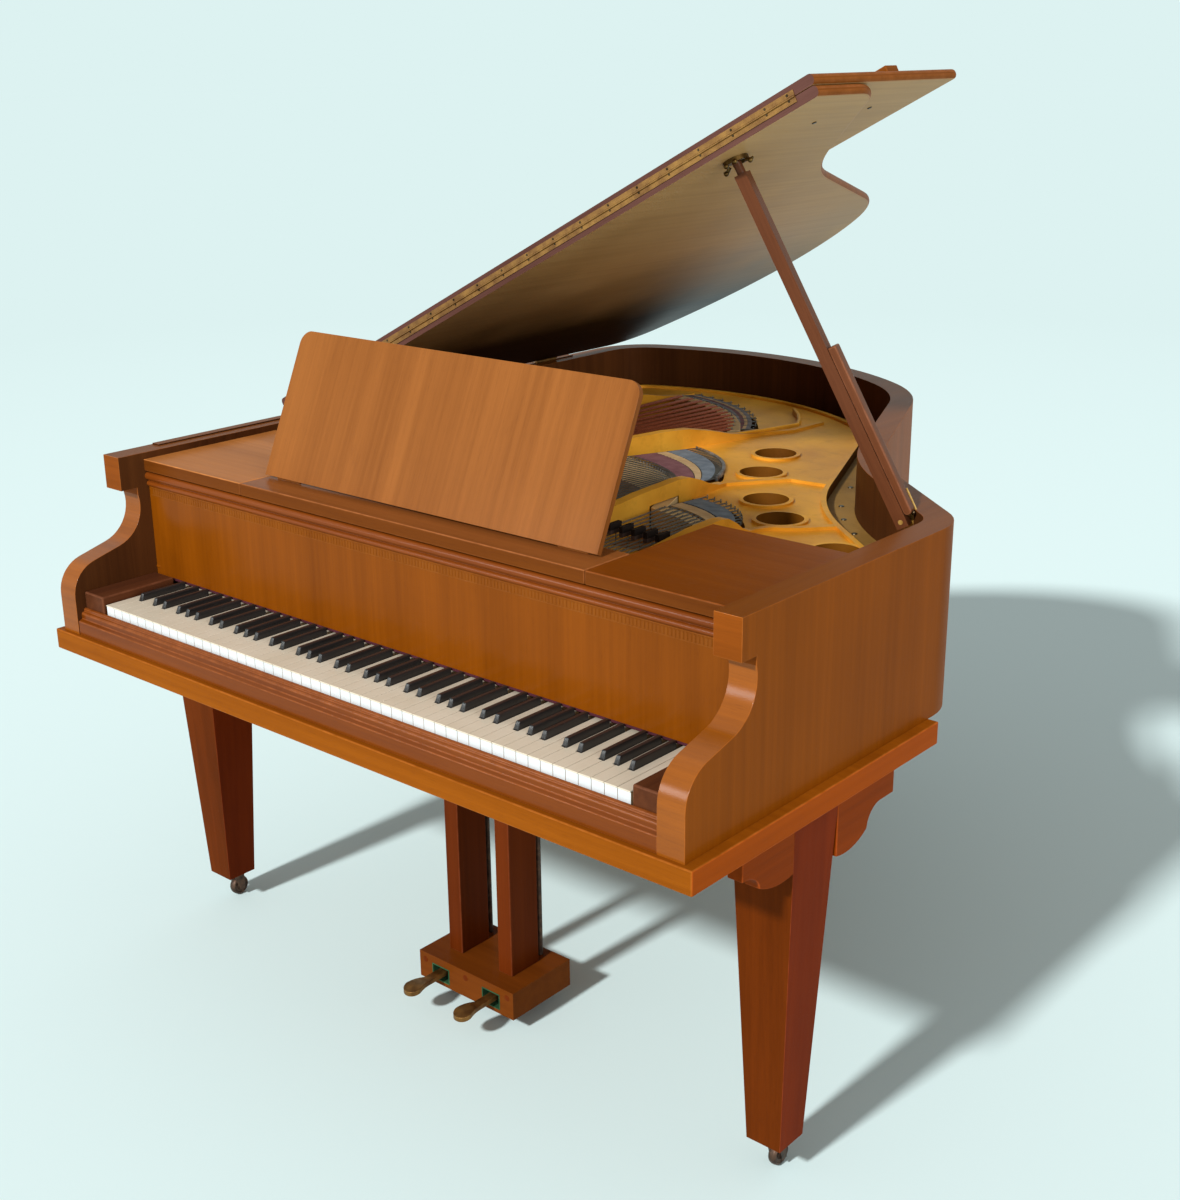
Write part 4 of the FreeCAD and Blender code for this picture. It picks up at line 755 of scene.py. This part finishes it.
for section, group in enumerate(groups):
    wound = section == bass
    apart, radius, finish = (0.0046, 0.0022, 1) if wound else (0.0026, 0.0005, 2)
    sides, end_sides = (6, 5) if wound else (4, 4)
    for near, bridge, hitch in group:
        side = (bridge - near).cross(Vector((0.0, 0.0, 1.0))).normalized() * apart
        for shift in (-side, Vector(), side):
            start, middle, end = near + shift, bridge + shift, hitch + shift
            rod(string_mesh, start, middle, radius, sides, finish)
            rod(string_mesh, middle, end, min(radius, core_radius), end_sides, 2)
            if shift == Vector() or section == tenor:
                foot = Vector((end.x, end.y, web_top - pin_sunk))
                top = foot + Vector((0.0, 0.0, pin_length))
                rod(string_mesh, foot, top, pin_radius, 6, 0, pin_tip)
in_place_of("strings", string_mesh, [steel, copper, dull_steel])


def thicken(made, height):
    """Gives a flat shape its thickness, up or down."""
    flat = made.faces[:]
    shift_new(made, bmesh.ops.extrude_face_region(made, geom=flat, use_keep_orig=True), height)
    bmesh.ops.recalc_face_normals(made, faces=made.faces)


felt_lift, felt_thickness, felt_steps = 0.0009, 0.0026, 16
felt_mesh = bmesh.new()
for group, bands in zip(groups, felt_bands):
    for finish, start, end in bands:
        part = bmesh.new()
        bmesh.ops.create_grid(part, x_segments=felt_steps, y_segments=1, size=0.5)
        for vert in part.verts:
            place = (vert.co.x + 0.5) * (len(group) - 1)
            first = min(int(place), len(group) - 2)
            share = start + (vert.co.y + 0.5) * (end - start)
            low, high = (group[first + k][1].lerp(group[first + k][2], share) for k in (0, 1))
            vert.co = low.lerp(high, place - first) + Vector((0.0, 0.0, felt_lift))
        part.normal_update()
        thicken(part, -felt_thickness)
        finish_by(part, lambda face, spot: finish)
        put(felt_mesh, part)
        part.free()
piece("string_felts", felt_mesh, "case", felt_finishes)

dress("tuning_pins", 0.0004, steel)


# Dampers. Black stained wooden heads with pads of dark felt stand on the strings, each on
# a wire from the tray that the pedal lifts.

damper_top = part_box("dampers")[1].z
head_base = damper_top - 0.018
pad_top = damper_top - 0.01116
black_wood = veneer("damper_black", "Y", paint(26, 22, 20), paint(48, 40, 36), 0.4, 0.2)
damper_felt = felt("damper_felt", paint(64, 48, 42), paint(98, 78, 68))


def damper_face(face, spot):
    """Wooden head, felt pad under it, or steel wire, from the top down."""
    if spot.z < head_base - 0.002:
        return 2
    return int(spot.z < pad_top)


damper_mesh = node_copy("dampers")
cut(damper_mesh, (0, 0, pad_top), (0, 0, 1))
ease(damper_mesh, 0.0006)
finish_by(damper_mesh, damper_face)
in_place_of("dampers", damper_mesh, [black_wood, damper_felt, steel])


# Keys. Each natural is a spruce lever under a thin white cover with a lip over a white
# front; each sharp is a black stained block glued to its lever. All turn on the balance rail.


def key_white(name, deep, bright):
    """Aged white key covering with faint lines along the key."""
    bone = Finish(name)
    lines = bone.noise([420.0, 9.0, 420.0], 3.0).over(0.3, 0.7)
    tone = bone.noise(11.0, 2.0).over(0.3, 0.7)
    return bone.surface(
        Base_Color=bone.blend(lines * 0.35 + tone * 0.45, deep, bright),
        Roughness=0.28 + tone * 0.08,
        Coat_Weight=0.1,
        Coat_Roughness=0.2,
    )


ebony = Finish("key_ebony")
ebony_grain = ebony.noise([700.0, 12.0, 700.0], 2.0).over(0.3, 0.7)
ebony_finish = ebony.surface(
    Base_Color=ebony.blend(ebony_grain, paint(20, 19, 20), paint(36, 34, 34)),
    Roughness=0.30 + ebony_grain * 0.08,
)
key_finishes = [
    key_white("key_ivory", paint(199, 188, 165), paint(214, 203, 184)),
    key_white("key_front", paint(201, 207, 208), paint(216, 219, 219)),
    veneer("key_lever_spruce", "Y", paint(186, 150, 104), paint(214, 182, 138), 0.55, 0.0, 0.4),
]
cover_thickness, lip = 0.0024, 0.0013


def split_keys(node, level, keep_top):
    """The keys' part above or below a level, closed again at the cut."""
    made = node_copy(node)
    split = cut(made, (0, 0, level), (0, 0, 1), clear_inner=keep_top, clear_outer=not keep_top)
    edges = [g for g in split["geom_cut"] if isinstance(g, bmesh.types.BMEdge)]
    bmesh.ops.holes_fill(made, edges=edges)
    return made


for node in sorted(n for n in body_of if n.startswith("keys_")):
    if node.endswith("sharp"):
        dress(node, 0.0014, ebony_finish, 3)
        continue
    low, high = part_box(node)
    covers = split_keys(node, high.z - cover_thickness, True)
    ease(covers, 0.0007)
    levers = split_keys(node, high.z - cover_thickness, False)
    for vert in levers.verts:
        if vert.co.y < low.y + 1e-4:
            vert.co.y += lip
    front_end = low.y + 0.01
    finish_by(levers, lambda face, spot: 1 if face.normal.y < -0.9 and spot.y < front_end else 2)
    put(levers, covers)
    covers.free()
    in_place_of(node, levers, key_finishes)


# Key slip and key blocks. The slip is a moulded rail with two rounded noses; the blocks
# at the ends of the keyboard are dark stained and screwed from below.

slip_finish = veneer("slip_walnut", "X", paint(91, 40, 5), paint(125, 63, 11), 0.28, 0.30)
block_finish = veneer("block_dark", "Y", paint(64, 33, 19), paint(101, 57, 32), 0.30, 0.06)
dress("key_slip", 0.0016, slip_finish, 2)
dress("key_blocks", 0.0030, block_finish, 3)


# Fallboard. A veneered panel with upright grain, turned down over the keys on end pivots.
# Along its top run a half-round roll, a groove, a bead and an inlaid band of small reeds,
# and a strip of felt is glued along its foot.

fall_low, fall_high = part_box("fallboard")
pivot_inset = 0.003
fall_front = joint_of["fallboard_hinge"]["pos_m"][1] - pivot_inset
fall_half = 0.668
roll_band, roll_depth = 0.0285, 0.004
roll_finish = veneer("roll_walnut", "X", paint(99, 44, 8), paint(128, 64, 16), 0.28, 0.30)
reed_finish = veneer("reed_inlay", "Z", paint(105, 52, 9), paint(134, 75, 20), 0.36, 0.1)
fall_finishes = [
    veneer("fallboard_walnut", "Z", paint(99, 48, 2), paint(133, 69, 6), 0.30, 0.16),
    roll_finish,
    reed_finish,
    felt("foot_felt", paint(58, 24, 34), paint(86, 42, 52)),
]


def fall_face(face, spot):
    """The roll and the bead along the top are redder than the panel."""
    return int(spot.z > fall_high.z - roll_band and spot.y < fall_front + roll_depth)


def reeded_band(made):
    """The inlaid row of reeds between two fine lines, and the felt along the foot."""
    pitch, height, middle = 0.0070, 0.0115, fall_high.z - 0.0365
    radius, flatness, line_gap = 0.0027, 0.34, 0.0014
    reed = bmesh.new()
    bmesh.ops.create_cone(
        reed, cap_ends=True, segments=6, radius1=radius, radius2=radius, depth=height
    )
    bmesh.ops.scale(reed, vec=(1.0, flatness, 1.0), verts=reed.verts)
    finish_by(reed, lambda face, spot: 2)
    for step in range(int(2 * fall_half / pitch) - 1):
        spot = (-fall_half + (step + 1) * pitch, fall_front, middle)
        put(made, reed, Matrix.Translation(spot))
    reed.free()
    for level, thick, proud, finish in (
        (middle + height / 2 + line_gap, 0.0008, 0.0006, 2),
        (middle - height / 2 - line_gap, 0.0009, 0.0006, 2),
        (fall_low.z + 0.0022, 0.0018, 0.0014, 3),
    ):
        low = (-fall_half, fall_front - proud, level - thick)
        slab(made, low, (fall_half, fall_front + 0.0005, level + thick), 0.0003, finish)


dress("fallboard", 0.0008, fall_finishes, 2, fall_face, reeded_band)


# Shelves, ledge, music desk and stay. The desk is a veneered panel with rounded corners
# that leans back on two barrels. The shelves beside it are solid boards, and the ledge is
# a rail along the front with a tongue in the middle that runs back under the desk.

desk_lean = (math.radians(24.0), 0.0, 0.0)
desk_finish = veneer(
    "desk_walnut", "Z", paint(113, 64, 25), paint(148, 90, 41), 0.36, 0.08, 1.0, desk_lean
)
# Painted sheen: the bass shelf is painted much paler than the treble shelf, standing in for the
# sheen on its top.
bass_shelf_painted_sheen = veneer(
    "bass_shelf_walnut_painted_sheen", "X", paint(144, 86, 38), paint(186, 118, 60), 0.34, 0.10
)
shelf_finish = veneer("shelf_walnut", "X", paint(96, 44, 4), paint(127, 64, 9), 0.28, 0.18)
shelf_edge = veneer("shelf_edge", "X", paint(84, 40, 8), paint(115, 61, 16), 0.30, 0.06)
ledge_finish = veneer("ledge_walnut", "X", paint(110, 60, 24), paint(144, 84, 38), 0.30, 0.16)


def below_top(face, spot):
    """Picks the second finish for faces that don't look up."""
    return int(face.normal.z < 0.5)


for node, top_finish in (("bass_shelf", bass_shelf_painted_sheen), ("treble_shelf", shelf_finish)):
    dress(node, 0.0020, [top_finish, shelf_edge], 3, below_top)
ledge_low, ledge_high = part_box("desk_ledge")
rail_back, tongue_half = bed_front + 0.285, 0.14
ledge_outline = (
    (ledge_low.x, ledge_low.y), (ledge_high.x, ledge_low.y), (ledge_high.x, rail_back),
    (tongue_half, rail_back), (tongue_half, ledge_high.y), (-tongue_half, ledge_high.y),
    (-tongue_half, rail_back), (ledge_low.x, rail_back),
)
ledge = bmesh.new()
ledge.faces.new([ledge.verts.new((x, y, ledge_low.z)) for x, y in ledge_outline])
thicken(ledge, ledge_high.z - ledge_low.z)
ease(ledge, 0.0020, 3)
finish_by(ledge, below_top)
in_place_of("desk_ledge", ledge, [ledge_finish, shelf_edge])
dress("desk_panel", 0.0036, desk_finish, 3)
dress("desk_stay", 0.001, block_finish)


# Lid and front flap. Veneered boards with rounded orange edges; the flap lies folded back
# on the lid. The undersides are browner, the two faces at the fold are dark and bare.
# A small stop block is screwed to the flap.

lid_joint, flap_joint = joint_of["lid_hinge"], joint_of["flap_hinge"]
lid_side = Vector(flap_joint["axis"]).normalized()
lid_up = lid_side.cross(Vector((0.0, 1.0, 0.0)))
lid_frame = Matrix((lid_side, (0.0, 1.0, 0.0), lid_up)).transposed().to_4x4()
lid_frame.translation = Vector((lid_joint["pos_m"][0], 0.0, lid_joint["pos_m"][2]))
lid_turn = (0.0, math.atan2(lid_side.z, lid_side.x), 0.0)


def wood_with_painted_shade(name, dark, light, start, end):
    """Stained wood with painted shade: darker towards the hinge side, paler towards the open side.
    """
    wood = Finish(name, turn=lid_turn)
    streak = wood.noise([90.0, 1.5, 90.0], 4.0, 0.6).over(0.30, 0.70)
    fibre = wood.noise([620.0, 14.0, 620.0], 2.0).over(0.25, 0.75)
    cloud = wood.noise(3.0, 3.0).over(0.30, 0.70)
    tone = streak * 0.30 + fibre * 0.20 + cloud * 0.50
    across = wood.node("SeparateXYZ", {}, {"Vector": wood.spot()})
    pale_tone = wood.blend(tone, paint(152, 114, 66), paint(194, 153, 102))
    deep = wood.blend(tone, dark, light)
    # The blend from the dark colours to the pale ones across the board is painted shade.
    painted_shade_gradient = (across + cloud * 0.10).over(start, end)
    # Bevelled faces turn orange: edge wear with a painted edge highlight.
    edge = wood.node("Attribute", {"attribute_name": "wear_and_painted_highlight"}, output="Fac")
    colour = wood.blend(painted_shade_gradient, deep, pale_tone)
    return wood.surface(
        Base_Color=wood.blend(edge * 0.3, colour, paint(150, 92, 44)),
        Roughness=0.34 + fibre * 0.08 + cloud * 0.06,
        Normal=wood.bump(fibre, 0.00005),
        Coat_Weight=0.02,
        Coat_Roughness=0.2,
        Specular_IOR_Level=0.06,
    )


lid_finishes = [
    veneer("lid_top", "Y", paint(104, 56, 16), paint(140, 80, 28), turn=lid_turn),
    # Painted shade: the underside runs from near black at the hinge side to pale brown towards the
    # open side.
    wood_with_painted_shade("lid_underside", paint(12, 5, 3), paint(24, 11, 6), 0.13, 0.58),
    veneer("lid_edge", "Y", paint(94, 46, 7), paint(125, 67, 15), 0.32, 0.06, 0.5, lid_turn),
    veneer("lid_fold_face", "X", paint(72, 44, 36), paint(104, 70, 62), 0.5, 0.02, 0.5, lid_turn),
]
fold_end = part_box("lid_flap")[0].y + 0.006


def lid_face(face, spot):
    """Top, underside, rounded edge or fold face, by where the face looks."""
    up = face.normal.dot(lid_up)
    if abs(up) > 0.9:
        return 0 if up > 0 else 1
    return 3 if face.normal.y < -0.9 and spot.y < fold_end else 2


def off_fold(edge):
    """True for edges away from the fold, which stays square."""
    return any(v.co.y > fold_end for v in edge.verts)


def lid_points(node):
    """A board's points in the lid's own frame."""
    return [lid_frame.inverted() @ vert.co for vert in frame["nodes"][node].data.vertices]


def screw_below(made, along, level):
    """A screw head in the lower side of a lid board, near its open end."""
    across = 1.30
    head = slotted_screw(0.0045, 4)
    put(made, head, stand(lid_frame @ Vector((across, bed_front + along, level)), -lid_up))
    head.free()


lid_screw = worn_metal("lid_screws", paint(40, 32, 24), paint(84, 68, 48), 0.36)
lid_finishes.append(lid_screw)
lid_ease, lid_screw_line, flap_screw_line = 0.0072, 0.66, 0.83
dress(
    "lid_main", lid_ease, lid_finishes, 4, lid_face,
    lambda made: screw_below(made, lid_screw_line, 0.0), off_fold,
)
flap_points = lid_points("lid_flap")
flap_base = min(p.z for p in flap_points)
flap_top = flap_base + max(p.z for p in lid_points("lid_main"))
block_foot = flap_top + 0.002
low, high = corners([p for p in flap_points if p.z < block_foot])
board_place = Matrix.Translation((low + high) / 2) @ Matrix.Diagonal((*(high - low), 1.0))
flap = bmesh.new()
bmesh.ops.create_cube(flap, size=1.0, matrix=lid_frame @ board_place)
ease(flap, lid_ease, 4, pick=off_fold)
finish_by(flap, lid_face)
low, high = corners([p for p in flap_points if p.z > block_foot])
low.z = flap_top - 0.0005
slab(flap, low, high, 0.0015, 2, lid_frame)
screw_below(flap, flap_screw_line, flap_base)
# The flap's underside takes the same painted shade gradient, from the lid top's colours to pale
# brown.
flap_outer = wood_with_painted_shade("flap_outer", paint(104, 56, 16), paint(140, 80, 28), 0.50, 0.92)
in_place_of("lid_flap", flap, [lid_finishes[0], flap_outer, *lid_finishes[2:]])


# Hinges. Two long brass leaves meet along the fold on one pin, with a screw every 67 mm;
# three brass butts join the lid to the spine.

pale_brass = worn_metal("hinge_brass", paint(108, 70, 26), paint(145, 104, 47), 0.40, 0.5)
brass = worn_metal("aged_brass", paint(90, 58, 25), paint(138, 98, 47), 0.34, 0.75)
dark_brass = worn_metal("dark_brass", paint(70, 50, 26), paint(120, 92, 50), 0.34)


def leaf_screws(node):
    """Screws along one leaf of the fold's hinge, the two at the open end closer together."""
    low, high = corners(lid_points(node))
    sunk, from_pin, end_margin, first_pitch, pitch = 0.0015, 0.0042, 0.012, 0.043, 0.067
    level = high.z - from_pin if "lid_leaf" in node else low.z + from_pin

    def add(made):
        head = slotted_screw(0.0024, 1)
        place, step = high.x - end_margin, first_pitch
        while place > low.x + 0.01:
            spot = lid_frame @ Vector((place, high.y - sunk, level))
            put(made, head, stand(spot, (0.0, -1.0, 0.0)))
            place, step = place - step, pitch
        head.free()

    return add


for node in ("flap_hinge_lid_leaf", "flap_hinge_flap_leaf"):
    dress(node, 0.0003, [pale_brass, lid_screw], 2, None, leaf_screws(node))


def butt_screws(made):
    """Three screws in each leaf on the spine."""
    leaf_top, margin = 0.976, 0.0055
    head = slotted_screw(0.0036, 1)
    for points in islands("spine_hinge_rim_leaves"):
        low, high = corners(points)
        for share in (0.14, 0.5, 0.86):
            spot = (low.x + margin, low.y + (high.y - low.y) * share, leaf_top)
            put(made, head, Matrix.Translation(spot))
    head.free()


dress("spine_hinge_rim_leaves", 0.0003, [brass, lid_screw], 2, None, butt_screws)
dress("spine_hinge_lid_leaves", 0.0003, brass)


# Lid prop. A long dark stick and a short half stick beside it swing on a pin in a cast
# brass bracket at the bent side; its tip stands in a cup with two horns under the lid.

prop_pin = Vector(joint_of["prop_swing"]["pos_m"])
stick_low, stick_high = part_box("prop_stick")
prop_along = ((stick_low + stick_high) / 2 - prop_pin).normalized()
prop_turn = prop_along.rotation_difference(Vector((0.0, 0.0, 1.0))).to_euler()
prop_finish = veneer(
    "prop_dark", "Z", paint(70, 36, 20), paint(118, 70, 42), 0.26, 0.14, 1.0, tuple(prop_turn)
)
dress("prop_stick", 0.0040, prop_finish, 3)
dress("prop_half_stick", 0.0026, prop_finish, 3)


def bracket_trim(made):
    """Screws in the corners of the bracket's plate, and a cast ear behind the sticks' feet."""
    made.normal_update()
    plate = max(
        (f for f in made.faces if abs(f.normal.z) < 0.05 and f.normal.y < 0.0),
        key=lambda f: f.calc_area(),
    )
    out, middle = plate.normal.copy(), plate.calc_center_median()
    along = Vector((0.0, 0.0, 1.0)).cross(out)
    reach = max(abs((v.co - middle).dot(along)) for v in plate.verts)
    tall = max(abs(v.co.z - middle.z) for v in plate.verts)
    margin = 0.009
    head = slotted_screw(0.0042, 1)
    for side, up in ((-1, -1), (-1, 1), (1, -1), (1, 1)):
        spot = middle + along * side * (reach - margin)
        spot.z += up * (tall - margin)
        put(made, head, stand(spot, out))
    near = Vector(joint_of["prop_swing"]["axis"]).normalized()
    upward = (prop_along - near * prop_along.dot(near)).normalized()
    beside = upward.cross(near)
    beside *= math.copysign(1.0, beside.dot(view_right))
    place = Matrix((beside, -near, upward)).transposed().to_4x4()
    place.translation = prop_pin
    ear_front, ear_back = 0.0130, 0.0170
    slab(made, (-0.008, ear_front, -0.024), (0.025, ear_back, 0.044), 0.0010, 0, place)
    for x, z in ((0.019, 0.012), (0.019, 0.036)):
        put(made, head, stand(place @ Vector((x, ear_front, z)), near))
    head.free()


def cup_horns(made):
    """Two curled horns and round knobs beside the mouth of the cup."""
    points = [v.co for v in frame["nodes"]["prop_cup"].data.vertices]
    middle = sum(points, Vector()) / len(points) - lid_up * 0.004
    knob = bmesh.new()
    bmesh.ops.create_uvsphere(knob, u_segments=12, v_segments=8, radius=0.0042)
    across = Vector((0.0, 1.0, 0.0)).cross(lid_up)
    for side in (-1, 1):
        shoulder = middle + across * side * 0.017
        elbow = shoulder + across * side * 0.008 - lid_up * 0.006
        tip = elbow + across * side * 0.005 + lid_up * 0.003
        rod(made, shoulder, elbow, 0.0034, 8, 0, 0.0028)
        rod(made, elbow, tip, 0.0028, 8, 0, 0.0020)
        front = middle + across * side * 0.009
        for spot, ahead in ((elbow, 0.002), (front, 0.019)):
            put(made, knob, Matrix.Translation(spot - Vector((0.0, ahead, 0.0))))
    knob.free()


bracket_brass = worn_metal("bracket_brass", paint(158, 118, 46), paint(208, 168, 92), 0.42, 0.3)
dress("prop_bracket", 0.0009, [bracket_brass, lid_screw], 2, None, bracket_trim)
dress("prop_cup", 0.0010, dark_brass, 2, None, cup_horns)


# Legs and brackets. Square tapered legs of solid wood stand under the keybed and the tail;
# scalloped boards brace the front pair along the keybed's sides.

leg_finish = veneer("leg_walnut", "Z", paint(70, 27, 1), paint(103, 44, 5))
bracket_finish = veneer("bracket_walnut", "Y", paint(103, 41, 3), paint(139, 58, 6))
leg_finishes = [leg_finish, veneer("leg_red_side", "Z", paint(84, 26, 3), paint(118, 42, 7))]
for node in ("leg_bass", "leg_treble", "leg_rear"):
    leg = dress(node, 0.0022, leg_finishes, 3, looks_sideways)
    if node != "leg_treble":
        link_light(side_lamp, leg, "EXCLUDE")
bracket_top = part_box("leg_brackets")[1].z
wing_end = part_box("leg_treble")[0].y + 0.002
wing_depth = 0.78


def shallow_wings(made):
    """The wings in front of the legs hang less deep than those behind."""
    for vert in made.verts:
        if vert.co.y < wing_end:
            vert.co.z = bracket_top - (bracket_top - vert.co.z) * wing_depth


dress("leg_brackets", 0.0016, bracket_finish, 2, None, shallow_wings)


# Casters. Dark cast forks turn on stems in the legs; each wheel is turned iron with a
# rounded tread, a raised hub and a shallow hollow between them.

iron = worn_metal("caster_iron", paint(44, 32, 26), paint(92, 68, 52), 0.42, 0.7, 90.0)


def turned(profile, steps=24):
    """A lathe shape round the z axis, from radius and height pairs."""
    part = bmesh.new()
    rail = [part.verts.new((radius, 0.0, height)) for radius, height in profile]
    edges = [part.edges.new(pair) for pair in zip(rail, rail[1:])]
    bmesh.ops.spin(
        part,
        geom=rail + edges,
        cent=(0, 0, 0),
        axis=(0, 0, 1),
        angle=2 * math.pi,
        steps=steps,
        use_merge=True,
    )
    bmesh.ops.remove_doubles(part, verts=part.verts, dist=1e-6)
    bmesh.ops.recalc_face_normals(part, faces=part.faces)
    return part


wheel_half, wheel_radius, hub_bore = 0.008, 0.020, 0.0042
half_profile = [
    (hub_bore, 0.0),
    (hub_bore, wheel_half),
    (0.0085, wheel_half),
    (0.0095, wheel_half - 0.0022),
    (0.0140, wheel_half - 0.0022),
    (0.0152, wheel_half - 0.0006),
    (0.0172, wheel_half - 0.0008),
    (0.0190, wheel_half - 0.0026),
    (wheel_radius, wheel_half - 0.0056),
]
wheel_profile = half_profile + [(radius, -height) for radius, height in half_profile[:0:-1]]
wheel_profile.append(wheel_profile[0])
for place in ("bass", "treble", "rear"):
    dress("caster_fork_" + place, 0.0010, iron)
    node = "caster_wheel_" + place
    wheel = turned(wheel_profile)
    axle = stand(joint_of["roll_" + place]["pos_m"], (1.0, 0.0, 0.0))
    bmesh.ops.transform(wheel, matrix=axle, verts=wheel.verts)
    in_place_of(node, wheel, iron)


# Lyre. The pedal box hangs on two posts, with slanted rods behind. Each slot is lined with
# green felt, and wooden plugs cover the screws in the box's front.

lyre_finish = veneer("lyre_walnut", "X", paint(89, 42, 8), paint(119, 60, 15))
post_finish = veneer("post_walnut", "Z", paint(75, 28, 4), paint(104, 43, 10))
green_felt = felt("slot_felt", paint(28, 62, 40), paint(58, 98, 66))
lyre_low, lyre_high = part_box("lyre_box")
slot_sides, slot_half, slot_base, slot_top = (-0.064, 0.064), 0.022, 0.0376, 0.0686


def lyre_trim(made):
    """Felt round the inside of each pedal's slot, and the plugs over the screws."""
    thick, deep, lap, glued = 0.0020, 0.05, 0.0008, 0.0002
    for middle in slot_sides:
        left, right = middle - slot_half, middle + slot_half
        for low_x, low_z, high_x, high_z in (
            (left, slot_top - thick, right, slot_top + glued),
            (left, slot_base - glued, right, slot_base + thick),
            (left - glued, slot_base, left + thick, slot_top),
            (right - thick, slot_base, right + glued, slot_top),
        ):
            low = (low_x, lyre_low.y - lap, low_z)
            slab(made, low, (high_x, lyre_low.y + deep, high_z), 0.0005, 1)
    plug = turned([(0.0, 0.0009), (0.0052, 0.0008), (0.0060, 0.0), (0.0060, -0.001)], 16)
    finish_by(plug, lambda face, spot: 2)
    plug_apart, plug_drop = 0.104, 0.014
    for x in (-plug_apart, 0.0, plug_apart):
        put(made, plug, stand((x, lyre_low.y, lyre_high.z - plug_drop), (0.0, -1.0, 0.0)))
    plug.free()


lyre_box = dress("lyre_box", 0.0020, [lyre_finish, green_felt, post_finish], 3, None, lyre_trim)
lyre_posts = dress("lyre_posts", 0.0020, post_finish, 3)
for obj in (lyre_box, lyre_posts):
    link_light(side_lamp, obj, "EXCLUDE")
dress("lyre_braces", 0.0010, post_finish)
for side in ("soft", "sustain"):
    dress("pedal_rod_" + side, 0.0008, iron)


# Pedals. Cast brass levers, worn bright on the foot plates, which swell up to a rounded
# crown at the tip.

pedal_crown, crown_length, crown_steps = 0.0045, 0.062, 7


def crowned_pedal(node):
    """The CAD pedal with its foot plate swelled up into a rounded crown."""
    made = node_copy(node)
    low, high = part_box(node)
    for step in range(1, crown_steps):
        cut(made, (0, low.y + crown_length * step / crown_steps, 0), (0, 1, 0))
    ease(made, 0.0028, 3)
    for vert in made.verts:
        share = min(1.0, max(0.0, (vert.co.y - low.y) / crown_length))
        vert.co.z += pedal_crown * math.sin(math.pi * share) ** 1.5
    return made


for side in ("soft", "sustain"):
    node = "pedal_" + side
    in_place_of(node, crowned_pedal(node), brass)
